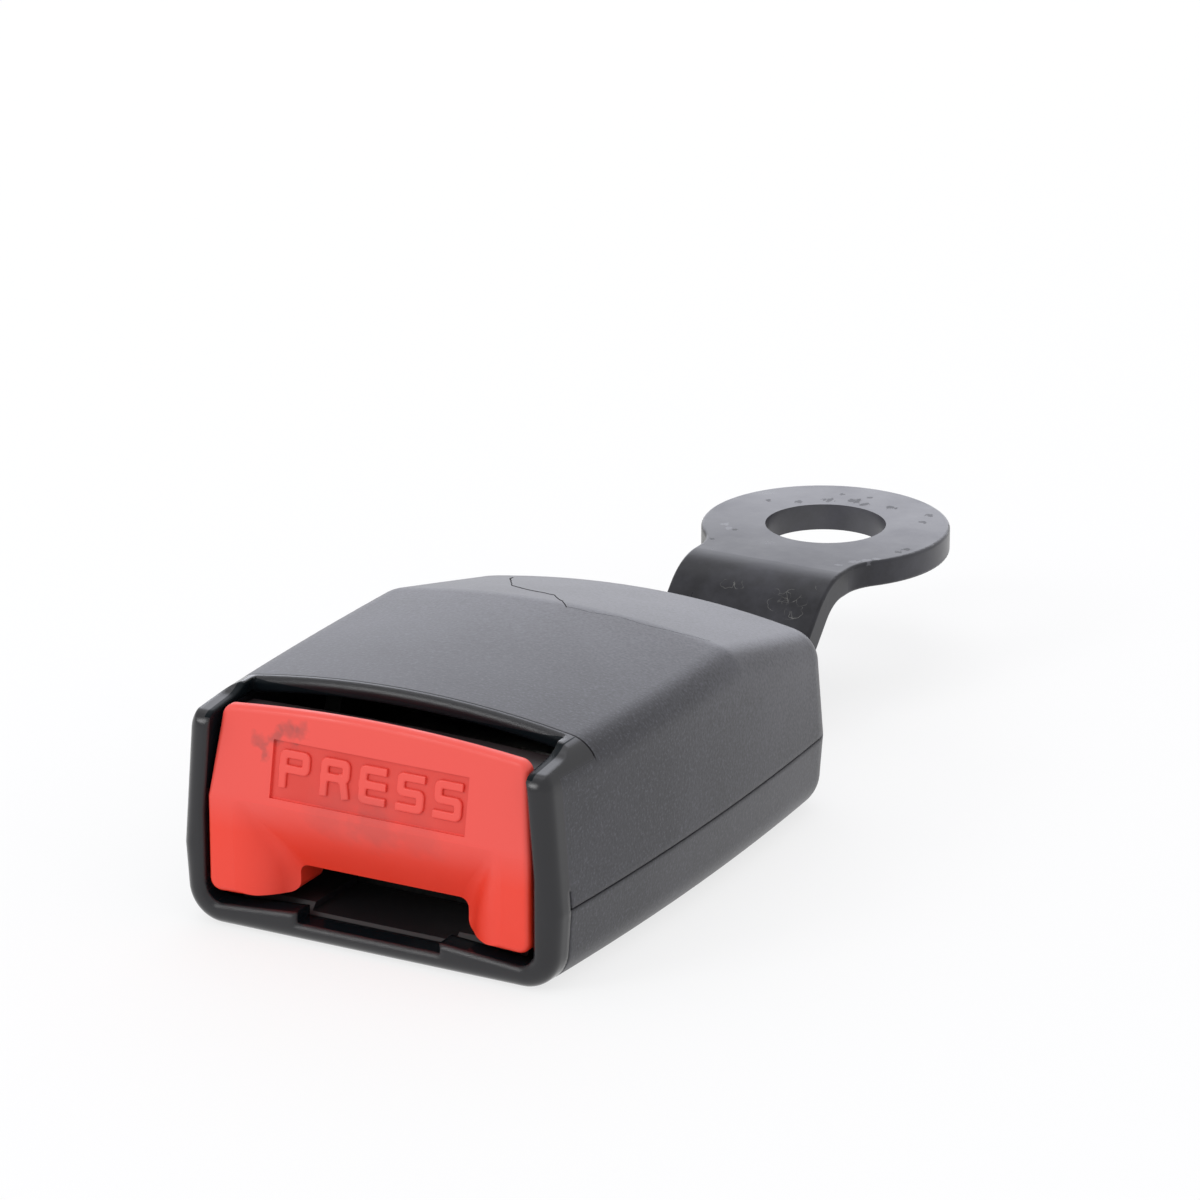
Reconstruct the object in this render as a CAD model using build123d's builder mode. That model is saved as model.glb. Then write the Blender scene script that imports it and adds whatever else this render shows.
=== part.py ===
from build123d import *
from math import cos, radians, sin, sqrt, tan
import os

os.makedirs("parts", exist_ok=True)

# The origin is the centre of the anchor eye, on the underside of its ring. +Z points up along the eye and
# the mouth of the buckle faces -Y. Depths are measured back from the mouth, heights up from the surface
# that the housing lies on, and sizes are in millimetres.
mouth_y = -102.0
floor_z = -12.4

# Anchor strap
plate_thickness = 3.0
strap_width = 18.5
ring_radius = 14.0
eye_radius = 6.8
neck_radius = 6.0
bend_radius = 6.5
strap_height = 3.2
strap_rise_angle = 46.0
strap_start = 45.0
strap_edge_radius = 0.4
upper_bend_depth = 84.9

# Housing
housing_length = 62.4
rear_side_depth = 61.0
front_overrun = 6.0
front_half_width = 21.0
middle_half_width = 22.75
middle_depth = 29.0
rear_half_width = 21.6
rear_corner_radius = 5.0
housing_height = 25.4
crown_radius = 110.0
ridge_depth = 39.5
rear_slope = 13.0
ridge_radius = 6.0
top_edge_radius = 3.6
front_edge_radius = 1.6
low_edge_radius = 4.0
upper_draft = 4.5
lower_draft = 4.0
wall = 2.0
roof = 1.5
floor_thickness = 1.4
exit_gap = 0.5
parting_height = 8.25
parting_gap = 0.2
collar_depth = 2.85
collar_half_width = 21.7
groove_front = 2.75
groove_rear = 3.05
groove_depth = 0.3
groove_rise = 2.0
reach = 30.0

# Mouth
mouth_half_width = 18.9
mouth_top_half_width = 17.8
mouth_waist = 12.0
mouth_corner_radius = 1.8
roof_edge_depth = 8.4
lip_height = 3.1
lip_end_height = 2.3
notch_half_width = 8.2
notch_height = 2.0
cheek_height = 22.6
cheek_radius = 1.7
cheek_rear_depth = 4.6
cheek_rise = 0.3
mouth_edge_bevel = 0.35
roof_edge_bevel = 0.45
roof_bevel_angle = 40.0

# Push button
button_half_width = 18.45
button_top_half_width = 17.45
button_waist = 13.8
button_height = 24.15
button_end_height = 23.2
button_face_depth = 0.1
button_lean = 1.96
button_depth = 8.0
button_lip = 0.9
button_step = 2.0
button_corner_radius = 1.3
button_edge_radius = 0.7
slot_half_width = 9.7
slot_height = 7.0
leg_outer_height = 3.7
leg_inner_height = 4.0
scoop_outer = 16.0
scoop_heights = (17.0, 14.6, 13.2, 11.0, 9.0, 7.0, 5.0, 2.0)
scoop_depths = (0.01, 0.03, 0.35, 1.4, 2.5, 3.5, 3.9, 4.1)
scoop_floors = (14.0, 14.0, 13.4, 11.8, 10.2, 9.0, 8.4, 8.2)
scoop_turn = 0.65
slot_corner_radius = 1.0
panel_width = 22.4
panel_height = 6.0
panel_middle = 17.85
panel_recess = 0.35
pocket_half_width = 15.3
pocket_low = 14.6
pocket_high = 21.0
arm_thickness = 1.8
arm_low = 13.4
arm_high = 18.0
arm_rear = 16.6
arm_gap = 0.4

# Steel frame
sheet = 1.8
frame_half_width = 14.4
frame_height = 1.4
frame_front = 12.5
frame_rear = 58.0
frame_wall_top = 21.0
frame_bend_radius = 2.4
frame_wall_rear = 47.5
frame_tail_half_width = 10.6
front_corner_height = 9.0
front_slope_run = 5.0
rear_corner_height = 11.0
rear_slope_run = 4.5
wall_corner_radius = 2.0
nose_window_half_width = 5.2
nose_window_front = 18.6
nose_window_rear = 26.4
tab_window_front = 36.0

# Latch and its pin
pivot_depth = 40.0
pivot_height = 15.0
pin_radius = 2.0
pin_half_length = 15.8
pin_chamfer = 0.3
clip_thickness = 0.7
clip_rim = 1.2
clip_opening = 1.6
hub_radius = 3.3
latch_half_width = 10.6
ear_gap_half_width = 7.4
ear_front = 35.5
ear_rear = 45.0
latch_top = 15.3
latch_underside = 12.3
nose_front = 19.5
nose_rear = 22.8
nose_height = 8.2
nose_half_width = 4.2
nose_tip_rise = 0.5
nose_shoulder = 0.8
neck_run = 4.0
shoulder_run = 7.0
latch_bevel = 1.0

# Lock bar
bar_radius = 1.8
bar_depth = 27.0
bar_height = 17.5
bar_travel = 4.2
bar_half_length = 16.2
bar_play = 0.15
bar_chamfer = 0.4

# Ejector
ejector_front = 17.0
ejector_web = 26.0
ejector_rear = 30.0
ejector_low = 3.4
ejector_high = 7.5
ejector_half_width = 12.3
ejector_arm_inner = 5.2
ejector_arm_outer = 9.6
ejector_corner_radius = 0.8
rod_radius = 0.9
rod_height = 5.6
rod_front = 27.2
rod_chamfer = 0.3
rod_gap = 0.35
tab_depth = 42.6
tab_half_width = 3.2
tab_height = 8.6

# Springs
wire_radius = 0.3
ejector_coil_radius = 1.75
ejector_coil_pitch = 3.0
button_coil_radius = 1.4
button_coil_pitch = 3.0
button_spring_x = 17.3
button_spring_height = 10.1
stop_depth = 24.0
stop_thickness = 2.0
peg_radius = 0.7
peg_length = 10.0
peg_chamfer = 0.2

# Bridge, pads, guide, screws and rivets
bridge_front = 31.0
bridge_rear = 38.0
bridge_height = 18.7
tab_front = 32.5
tab_rear = 36.5
pad_height = 22.8
pad_inset = 0.1
guide_half_width = 16.4
guide_front = 3.2
guide_rear = 12.3
guide_height = 2.9
channel_half_width = 8.3
channel_drop = 0.7
guide_lead = 1.0
boss_x = 14.2
boss_depth = 52.0
boss_radius = 3.1
screw_radius = 1.25
screw_head_radius = 2.2
screw_head_low = 0.7
screw_head_high = 2.5
screw_top = 14.0
screw_chamfer = 0.5
screw_gap = 0.25
screw_head_gap = 0.15
rivet_x = 4.9
rivet_depth = 51.5
rivet_radius = 2.45
rivet_head_radius = 3.8
rivet_head_height = 1.5
rivet_sink_radius = 3.5
running_gap = 0.05
press_gap = 0.02

level_run = (0, 1, 0)
rising_run = (0, cos(radians(roof_bevel_angle)), sin(radians(roof_bevel_angle)))
falling_run = (0, cos(radians(rear_slope)), -sin(radians(rear_slope)))


# Planes of the housing: seen from above, from the front, and from the side
def level(height):
    return Plane(origin=(0, mouth_y, floor_z + height))


def section(depth):
    return Plane(origin=(0, mouth_y + depth, floor_z), x_dir=(1, 0, 0), z_dir=(0, -1, 0))


def side(x):
    return Plane(origin=(x, mouth_y, floor_z), x_dir=(0, 1, 0), z_dir=(1, 0, 0))


def save(piece, name):
    piece.part.label = name
    export_step(piece.part, f"parts/{name}.step")


# The bowed outline of the housing seen from above, overrunning the mouth so that its front can be cut flat
def housing_plan(height, inset):
    front = (front_half_width - inset, -front_overrun)
    middle = (middle_half_width - inset, middle_depth)
    rear = (rear_half_width - inset, rear_side_depth - inset)
    with BuildSketch(level(height)) as plan:
        with BuildLine():
            ThreePointArc(front, middle, rear)
            ThreePointArc(rear, (0, housing_length - inset), (-rear[0], rear[1]))
            ThreePointArc((-rear[0], rear[1]), (-middle[0], middle[1]), (-front[0], front[1]))
            Line((-front[0], front[1]), front)
        make_face()
        fillet(plan.vertices().group_by(Axis.Y)[-1], rear_corner_radius - inset / 2)
    return plan.sketch


# What stands above the crowned top
def above_crown(depth, height):
    sag = crown_radius - sqrt(crown_radius**2 - reach**2)
    with BuildSketch(section(depth)) as above:
        with BuildLine():
            ThreePointArc((-reach, height - sag), (0, height), (reach, height - sag))
            Line((reach, height - sag), (reach, height + reach))
            Line((reach, height + reach), (-reach, height + reach))
            Line((-reach, height + reach), (-reach, height - sag))
        make_face()
    return above.sketch


# A rectangle seen from above, given by its sides
def plan_box(height, left, right, front, rear):
    with BuildSketch(level(height)) as box:
        with Locations(((left + right) / 2, (front + rear) / 2)):
            Rectangle(right - left, rear - front)
    return box.sketch


# A rectangle seen from the front, given by its sides
def section_box(depth, left, right, low, high):
    with BuildSketch(section(depth)) as box:
        with Locations(((left + right) / 2, (low + high) / 2)):
            Rectangle(right - left, high - low)
    return box.sketch


# A disc seen from the side
def side_disc(x, depth, height, radius):
    with BuildSketch(side(x)) as disc:
        with Locations((depth, height)):
            Circle(radius)
    return disc.sketch


# A disc seen from the front
def section_disc(depth, x, height, radius):
    with BuildSketch(section(depth)) as disc:
        with Locations((x, height)):
            Circle(radius)
    return disc.sketch


# Discs at the two screws, seen from above
def screw_discs(height, radius):
    with BuildSketch(level(height)) as discs:
        with Locations((-boss_x, boss_depth), (boss_x, boss_depth)):
            Circle(radius)
    return discs.sketch


# Discs at the two rivets, seen from above
def rivet_discs(height, radius):
    with BuildSketch(level(height)) as discs:
        with Locations((-rivet_x, rivet_depth), (rivet_x, rivet_depth)):
            Circle(radius)
    return discs.sketch


# The edges across the top, from side to side: the ridge alone, or the ridge's two borders once it is rounded
def cross_edges(builder):
    across = builder.edges().filter_by(lambda edge: abs((edge @ 0.5).X) < 1 and (edge @ 0.5).Z > 0)
    return across.filter_by(lambda edge: abs((edge @ 0.5).Y - mouth_y - ridge_depth) < 5)


# The edges where the side and rear walls meet the crowned top
def top_edges(builder):
    tops = builder.faces().filter_by(lambda face: face.normal_at().Z > 0.8)
    shared = cross_edges(builder)
    rim = tops.edges().filter_by(lambda edge: edge not in shared)
    return rim.filter_by(lambda edge: abs((edge @ 0.5).X) > 1 or (edge @ 0.5).Y > mouth_y + ridge_depth)


# The closed outer form that both covers are cut from, widest at the parting line
with BuildPart() as housing_form:
    extrude(housing_plan(parting_height, 0), amount=housing_height, taper=upper_draft)
    extrude(above_crown(-1, housing_height), amount=3 * reach, dir=level_run, mode=Mode.SUBTRACT)
    extrude(above_crown(ridge_depth, housing_height), amount=reach, dir=falling_run, mode=Mode.SUBTRACT)
    fillet(cross_edges(housing_form), ridge_radius)
    fillet(top_edges(housing_form), top_edge_radius)
    extrude(housing_plan(parting_height, 0), amount=-parting_height, taper=lower_draft)
    floor_edges = housing_form.faces().sort_by(Axis.Z)[0].edges()
    fillet(floor_edges.filter_by(lambda edge: (edge @ 0.5).Y > mouth_y + 1), low_edge_radius)
    extrude(plan_box(-1, -reach, reach, -reach, 0), amount=2 * reach, mode=Mode.SUBTRACT)
    fillet(housing_form.faces().sort_by(Axis.Y)[0].edges(), front_edge_radius)

# The hollow inside the upper cover, round its screw bosses and spring stops
with BuildPart() as cover_hollow:
    extrude(housing_plan(parting_height, wall), amount=housing_height, taper=upper_draft)
    extrude(above_crown(-1, housing_height - roof), amount=3 * reach, dir=level_run, mode=Mode.SUBTRACT)
    extrude(
        above_crown(ridge_depth, housing_height - roof), amount=reach, dir=falling_run, mode=Mode.SUBTRACT
    )
    fillet(cross_edges(cover_hollow), ridge_radius)
    fillet(top_edges(cover_hollow), top_edge_radius - wall)
    extrude(plan_box(-1, -reach, reach, -reach, collar_depth), amount=2 * reach, mode=Mode.SUBTRACT)
    extrude(screw_discs(0, boss_radius), amount=reach, mode=Mode.SUBTRACT)
    for sign in (-1, 1):
        inner = sign * (button_spring_x - button_coil_radius - wire_radius)
        outer = sign * reach
        stop_top = button_spring_height + button_coil_radius + wire_radius
        extrude(
            plan_box(0, min(inner, outer), max(inner, outer), stop_depth, stop_depth + stop_thickness),
            amount=stop_top,
            mode=Mode.SUBTRACT,
        )


# The mouth seen from the front, with the notch in its lower lip, drawn wider where its edge is bevelled
def mouth_outline(depth, wider):
    with BuildSketch(section(depth)) as outline:
        with BuildLine():
            Polyline(
                (-notch_half_width - wider, lip_height - wider),
                (-notch_half_width - wider, notch_height - wider),
                (notch_half_width + wider, notch_height - wider),
                (notch_half_width + wider, lip_height - wider),
                (mouth_half_width + wider, lip_end_height - wider),
                (mouth_half_width + wider, mouth_waist),
                (mouth_top_half_width + wider, housing_height),
                (mouth_top_half_width + wider, 2 * reach),
                (-mouth_top_half_width - wider, 2 * reach),
                (-mouth_top_half_width - wider, housing_height),
                (-mouth_half_width - wider, mouth_waist),
                (-mouth_half_width - wider, lip_end_height - wider),
                close=True,
            )
        make_face()
        lip_corners = outline.vertices().filter_by(lambda corner: abs(corner.X) > notch_half_width + 1)
        fillet(lip_corners.group_by(Axis.Y)[0], mouth_corner_radius)
    return outline.sketch


with BuildPart() as mouth_bevel:
    add(mouth_outline(-mouth_edge_bevel, 2 * mouth_edge_bevel))
    add(mouth_outline(mouth_edge_bevel, 0))
    loft(ruled=True)

# The bevel along the front edge of the roof, between the cheeks
with BuildPart() as roof_bevel:
    start_height = housing_height - roof_edge_bevel - tan(radians(roof_bevel_angle))
    extrude(above_crown(roof_edge_depth - 1, start_height), amount=3, dir=rising_run)
    extrude(
        plan_box(0, -mouth_top_half_width, mouth_top_half_width, -reach, reach),
        amount=2 * reach,
        mode=Mode.INTERSECT,
    )

# What is cut away above the cheeks, seen from the side: their rounded nose, the level run and the ramp
with BuildSketch(side(-reach)) as above_cheeks:
    with BuildLine():
        nose = RadiusArc((0, cheek_height - cheek_radius), (cheek_radius, cheek_height), cheek_radius)
        run = Line(nose @ 1, (cheek_rear_depth, cheek_height + cheek_rise))
        ramp = TangentArc(run @ 1, (roof_edge_depth, housing_height), tangent=run % 1)
        Polyline(
            ramp @ 1,
            (roof_edge_depth, 2 * reach),
            (-reach, 2 * reach),
            (-reach, cheek_height - cheek_radius),
            nose @ 0,
        )
    make_face()

with BuildPart() as upper_cover:
    add(housing_form.part)
    add(cover_hollow.part, mode=Mode.SUBTRACT)
    extrude(
        plan_box(-1, -reach, reach, collar_depth, 3 * reach),
        amount=parting_height + parting_gap + 1,
        mode=Mode.SUBTRACT,
    )
    extrude(mouth_outline(-1, 0), amount=-roof_edge_depth - 1, mode=Mode.SUBTRACT)
    extrude(above_cheeks.sketch, amount=2 * reach, mode=Mode.SUBTRACT)
    extrude(screw_discs(0, screw_radius + running_gap), amount=screw_top + 1, mode=Mode.SUBTRACT)
    # the edge of the mouth is bevelled all round, and so is the edge of the roof behind it
    add(mouth_bevel.part, mode=Mode.SUBTRACT)
    add(roof_bevel.part, mode=Mode.SUBTRACT)
    # the short groove where the collar round the mouth runs into each side
    for sign in (-1, 1):
        inner = sign * (collar_half_width - groove_depth)
        outer = sign * reach
        extrude(
            plan_box(parting_height, min(inner, outer), max(inner, outer), groove_front, groove_rear),
            amount=groove_rise,
            mode=Mode.SUBTRACT,
        )

save(upper_cover, "upper_cover")

# The hollow of the lower cover, open at the front
with BuildPart() as tray_hollow:
    extrude(housing_plan(parting_height, wall), amount=floor_thickness - parting_height, taper=lower_draft)
    tray_floor = tray_hollow.faces().sort_by(Axis.Z)[0].edges()
    fillet(tray_floor, low_edge_radius - wall)
    extrude(screw_discs(0, boss_radius), amount=reach, mode=Mode.SUBTRACT)

with BuildPart() as lower_cover:
    add(housing_form.part)
    extrude(
        plan_box(0, -reach, reach, collar_depth + parting_gap / 2, 3 * reach),
        amount=parting_height,
        mode=Mode.INTERSECT,
    )
    add(tray_hollow.part, mode=Mode.SUBTRACT)
    exit_half_width = strap_width / 2 + exit_gap
    extrude(
        plan_box(strap_height - exit_gap, -exit_half_width, exit_half_width, boss_depth, 3 * reach),
        amount=reach,
        mode=Mode.SUBTRACT,
    )
    extrude(screw_discs(0, screw_radius + screw_gap), amount=reach, mode=Mode.SUBTRACT)
    extrude(screw_discs(0, screw_head_radius + screw_head_gap), amount=screw_head_high, mode=Mode.SUBTRACT)

save(lower_cover, "lower_cover")

# The front outline of the push button: arched top, two legs and the tongue slot between them
with BuildSketch(section(-1)) as button_front:
    with BuildLine():
        arch = ThreePointArc(
            (-button_top_half_width, button_end_height),
            (0, button_height),
            (button_top_half_width, button_end_height),
        )
        Polyline(
            arch @ 1,
            (button_half_width, button_waist),
            (button_half_width, leg_outer_height),
            (slot_half_width, leg_inner_height),
            (slot_half_width, slot_height),
            (-slot_half_width, slot_height),
            (-slot_half_width, leg_inner_height),
            (-button_half_width, leg_outer_height),
            (-button_half_width, button_waist),
            arch @ 0,
        )
    make_face()
    outer_corners = button_front.vertices().filter_by(lambda corner: abs(corner.X) > slot_half_width + 1)
    fillet(outer_corners.filter_by(lambda corner: corner.Y > 20 or corner.Y < 5), button_corner_radius)
    inner_corners = button_front.vertices().filter_by(lambda corner: abs(corner.X) < slot_half_width + 1)
    fillet(inner_corners, slot_corner_radius)

# The arch below the top edge of the button, behind its lip
with BuildSketch(section(button_face_depth + button_lean + button_lip)) as above_step:
    with BuildLine():
        Polyline(
            (-reach, button_end_height - button_step),
            (-reach, reach),
            (reach, reach),
            (reach, button_end_height - button_step),
        )
        ThreePointArc(
            (-reach, button_end_height - button_step),
            (0, button_height - button_step),
            (reach, button_end_height - button_step),
        )
    make_face()

# What is cut away in front of the face, seen from the side: upright below the waist, leaning back above
with BuildSketch(side(-reach)) as before_face:
    with BuildLine():
        Polyline(
            (button_face_depth, 0),
            (button_face_depth, button_waist),
            (button_face_depth + button_lean, button_height),
            (button_face_depth + button_lean, reach),
            (-reach, reach),
            (-reach, 0),
            close=True,
        )
    make_face()

# One level of the hollow that leads the tongue into the slot: both its ends round off from the face
def scoop_outline(height, depth, floor_half_width):
    rear = button_face_depth - 0.04
    with BuildSketch(level(height)) as outline:
        with BuildLine():
            turn_x = scoop_outer + (floor_half_width - scoop_outer) * scoop_turn
            turn_y = rear + depth * scoop_turn
            left_out = TangentArc((-scoop_outer, rear), (-turn_x, turn_y), tangent=(1, 0))
            left_in = TangentArc(left_out @ 1, (-floor_half_width, rear + depth), tangent=left_out % 1)
            right_out = TangentArc((scoop_outer, rear), (turn_x, turn_y), tangent=(-1, 0))
            right_in = TangentArc(right_out @ 1, (floor_half_width, rear + depth), tangent=right_out % 1)
            Line(left_in @ 1, right_in @ 1)
            Polyline(
                right_out @ 0,
                (button_half_width + 1, rear),
                (button_half_width + 1, -5),
                (-button_half_width - 1, -5),
                (-button_half_width - 1, rear),
                left_out @ 0,
            )
        make_face()
    return outline.sketch


with BuildPart() as scoop:
    for height, depth, floor_half_width in zip(scoop_heights, scoop_depths, scoop_floors):
        add(scoop_outline(height, depth, floor_half_width))
    loft()

# The plane of the leaning face, with its middle at the middle of the recessed panel
lean_rise = button_height - button_waist
panel_depth = button_face_depth + button_lean * (panel_middle - button_waist) / lean_rise
face_plane = Plane(
    origin=(0, mouth_y + panel_depth, floor_z + panel_middle),
    x_dir=(1, 0, 0),
    z_dir=(0, -lean_rise, button_lean),
)

with BuildPart() as press_button:
    extrude(button_front.sketch, amount=-button_depth - 1)
    extrude(above_step.sketch, amount=-button_depth, mode=Mode.SUBTRACT)
    extrude(before_face.sketch, amount=2 * reach, mode=Mode.SUBTRACT)
    face_edges = press_button.faces().filter_by(lambda face: face.normal_at().Y < -0.8).edges()
    crease = Axis((0, mouth_y + button_face_depth, floor_z + button_waist), (1, 0, 0))
    outline_edges = face_edges.filter_by(lambda edge: not crease.is_coaxial(Axis(edge @ 0, edge % 0)))
    fillet(outline_edges, button_edge_radius)
    add(scoop.part, mode=Mode.SUBTRACT)
    with BuildSketch(face_plane):
        Rectangle(panel_width, panel_height)
    extrude(amount=-panel_recess, mode=Mode.SUBTRACT)
    extrude(
        section_box(button_depth, -pocket_half_width, pocket_half_width, pocket_low, pocket_high),
        amount=button_depth - button_face_depth - button_lean - button_lip,
        mode=Mode.SUBTRACT,
    )
    for sign in (-1, 1):
        inner = sign * (frame_half_width + arm_gap)
        outer = sign * (frame_half_width + arm_gap + arm_thickness)
        extrude(
            section_box(arm_rear, min(inner, outer), max(inner, outer), arm_low, arm_high),
            amount=arm_rear - button_depth + button_lip,
        )

save(press_button, "press_button")

# Guide plate under the tongue, on the floor of the lower cover
with BuildPart() as tongue_guide:
    extrude(
        plan_box(floor_thickness, -guide_half_width, guide_half_width, guide_front, guide_rear),
        amount=guide_height - floor_thickness,
    )
    lead_edge = tongue_guide.edges().filter_by(Axis.X).group_by(Axis.Z)[-1].sort_by(Axis.Y)[0]
    chamfer(lead_edge, guide_lead)
    extrude(
        plan_box(guide_height - channel_drop, -channel_half_width, channel_half_width, 0, guide_rear),
        amount=reach,
        mode=Mode.SUBTRACT,
    )

save(tongue_guide, "tongue_guide")

# The side wall of the frame, sloped at both ends
with BuildSketch(side(-reach)) as wall_outline:
    with BuildLine():
        Polyline(
            (frame_front, 0),
            (frame_front, front_corner_height),
            (frame_front + front_slope_run, frame_wall_top),
            (frame_wall_rear - rear_slope_run, frame_wall_top),
            (frame_wall_rear, rear_corner_height),
            (frame_wall_rear, frame_height + sheet),
            (frame_rear, frame_height + sheet),
            (frame_rear, 0),
            close=True,
        )
    make_face()
    upper_corners = wall_outline.vertices().filter_by(lambda corner: corner.Y > frame_height + sheet + 1)
    fillet(upper_corners, wall_corner_radius)

# The slanted slot of the lock bar
with BuildSketch(side(-reach)) as bar_slot:
    with Locations((bar_depth - bar_travel / 2, bar_height - bar_travel / 2)):
        SlotCenterToCenter(bar_travel * sqrt(2), 2 * (bar_radius + bar_play), rotation=45)

under_rivets = Plane(
    origin=(0, mouth_y + rivet_depth, floor_z + frame_height), x_dir=(1, 0, 0), z_dir=(0, 0, -1)
)

with BuildPart() as buckle_frame:
    channel_length = frame_rear - frame_front
    inside = frame_half_width - sheet
    extrude(
        section_box(frame_rear, -frame_half_width, frame_half_width, frame_height, frame_wall_top),
        amount=channel_length,
    )
    fillet(buckle_frame.edges().filter_by(Axis.Y).group_by(Axis.Z)[0], frame_bend_radius)
    extrude(
        section_box(frame_rear, -inside, inside, frame_height + sheet, reach),
        amount=channel_length,
        mode=Mode.SUBTRACT,
    )
    extrude(wall_outline.sketch, amount=2 * reach, mode=Mode.INTERSECT)
    extrude(bar_slot.sketch, amount=2 * reach, mode=Mode.SUBTRACT)
    extrude(
        side_disc(-reach, pivot_depth, pivot_height, pin_radius + press_gap),
        amount=2 * reach,
        mode=Mode.SUBTRACT,
    )
    # the base narrows behind the walls to the width of the strap
    for sign in (-1, 1):
        inner = sign * frame_tail_half_width
        outer = sign * reach
        extrude(
            plan_box(0, min(inner, outer), max(inner, outer), frame_wall_rear, 3 * reach),
            amount=reach,
            mode=Mode.SUBTRACT,
        )
    # window under the nose of the latch, and the window that the spring tab is bent out of
    extrude(
        plan_box(0, -nose_window_half_width, nose_window_half_width, nose_window_front, nose_window_rear),
        amount=reach,
        mode=Mode.SUBTRACT,
    )
    extrude(
        plan_box(0, -tab_half_width, tab_half_width, tab_window_front, tab_depth),
        amount=reach,
        mode=Mode.SUBTRACT,
    )
    extrude(
        plan_box(frame_height, -tab_half_width, tab_half_width, tab_depth, tab_depth + sheet),
        amount=tab_height - frame_height,
    )
    with Locations(under_rivets):
        with Locations((-rivet_x, 0), (rivet_x, 0)):
            CounterSinkHole(rivet_radius + running_gap, rivet_sink_radius, sheet, 90)
    # slots that the tabs of the bridge pass through
    extrude(
        plan_box(bridge_height, -reach, reach, tab_front, tab_rear),
        amount=sheet,
        mode=Mode.SUBTRACT,
    )

save(buckle_frame, "buckle_frame")

# Cross plate that ties the walls of the frame together over the latch
with BuildPart() as frame_bridge:
    inside = frame_half_width - sheet
    extrude(plan_box(bridge_height, -inside, inside, bridge_front, bridge_rear), amount=sheet)
    extrude(
        plan_box(bridge_height, -frame_half_width, frame_half_width, tab_front, tab_rear),
        amount=sheet,
    )

save(frame_bridge, "frame_bridge")

# The bent strap seen from the side, as its middle line with the thickness drawn along it
strap_middle = strap_height + plate_thickness / 2
ring_middle = -floor_z + plate_thickness / 2
lower_bend_depth = upper_bend_depth - (ring_middle - strap_middle) / tan(radians(strap_rise_angle))
neck_start = upper_bend_depth + bend_radius * tan(radians(strap_rise_angle / 2)) + 0.2
with BuildSketch(side(-strap_width / 2)) as strap_side:
    with BuildLine():
        FilletPolyline(
            (strap_start, strap_middle),
            (lower_bend_depth, strap_middle),
            (upper_bend_depth, ring_middle),
            (neck_start, ring_middle),
            radius=bend_radius,
        )
    trace(line_width=plate_thickness)

# The ring and the neck that flares into it, seen from above
with BuildSketch(Plane.XY) as ring_plan:
    Circle(ring_radius)
    neck_length = -mouth_y - neck_start
    with Locations((0, -neck_length / 2)):
        Rectangle(strap_width, neck_length)
    neck_corners = ring_plan.vertices().filter_by(lambda corner: -ring_radius < corner.Y < -8)
    fillet(neck_corners.filter_by(lambda corner: corner.Y > -neck_length + 0.1), neck_radius)

with BuildPart() as anchor_strap:
    extrude(strap_side.sketch, amount=strap_width)
    extrude(ring_plan.sketch, amount=plate_thickness)
    rims = anchor_strap.edges().filter_by(Axis.Z, reverse=True).filter_by(Axis.X, reverse=True)
    fillet(rims, strap_edge_radius)
    with BuildSketch(Plane.XY):
        Circle(eye_radius)
    extrude(amount=plate_thickness, mode=Mode.SUBTRACT)
    extrude(rivet_discs(0, rivet_radius + running_gap), amount=reach, mode=Mode.SUBTRACT)

save(anchor_strap, "anchor_strap")

# Rivet: countersunk below, with a domed head on the strap
with BuildPart() as frame_rivets:
    for x in (-rivet_x, rivet_x):
        strap_top = strap_height + plate_thickness
        dome = (rivet_head_radius**2 + rivet_head_height**2) / (2 * rivet_head_height)
        through_rivet = Plane(origin=(x, mouth_y + rivet_depth, floor_z), x_dir=(1, 0, 0), z_dir=(0, -1, 0))
        with BuildSketch(through_rivet):
            with BuildLine():
                Polyline(
                    (0, strap_top + rivet_head_height),
                    (0, frame_height),
                    (rivet_sink_radius, frame_height),
                    (rivet_radius, frame_height + rivet_sink_radius - rivet_radius),
                    (rivet_radius, strap_top),
                    (rivet_head_radius, strap_top),
                )
                RadiusArc((rivet_head_radius, strap_top), (0, strap_top + rivet_head_height), -dome)
            make_face()
        revolve(axis=Axis((x, mouth_y + rivet_depth, 0), (0, 0, 1)))

save(frame_rivets, "frame_rivets")

# The latch seen from the side: nose, arm and hub
with BuildSketch(side(-latch_half_width)) as latch_side:
    with BuildLine():
        Polyline(
            (nose_front, nose_height),
            (nose_rear, nose_height + nose_tip_rise),
            (nose_rear, latch_underside),
            (pivot_depth - neck_run, latch_underside),
            (pivot_depth, pivot_height - hub_radius + 0.1),
            (pivot_depth, pivot_height + hub_radius - 0.1),
            (pivot_depth - shoulder_run, latch_top),
            (nose_front + latch_bevel, latch_top),
            (nose_front, latch_top - latch_bevel),
            close=True,
        )
    make_face()
    with Locations((pivot_depth, pivot_height)):
        Circle(hub_radius)

with BuildPart() as latch:
    extrude(latch_side.sketch, amount=2 * latch_half_width)
    for sign in (-1, 1):
        inner = sign * nose_half_width
        outer = sign * reach
        extrude(
            plan_box(0, min(inner, outer), max(inner, outer), 0, nose_rear + nose_shoulder),
            amount=reach,
            mode=Mode.SUBTRACT,
        )
    extrude(
        plan_box(0, -ear_gap_half_width, ear_gap_half_width, ear_front, ear_rear),
        amount=reach,
        mode=Mode.SUBTRACT,
    )
    extrude(
        side_disc(-reach, pivot_depth, pivot_height, pin_radius + running_gap),
        amount=2 * reach,
        mode=Mode.SUBTRACT,
    )

save(latch, "latch")

with BuildPart() as latch_pin:
    extrude(side_disc(-pin_half_length, pivot_depth, pivot_height, pin_radius), amount=2 * pin_half_length)
    chamfer(latch_pin.edges().filter_by(GeomType.CIRCLE), pin_chamfer)

save(latch_pin, "latch_pin")

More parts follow.
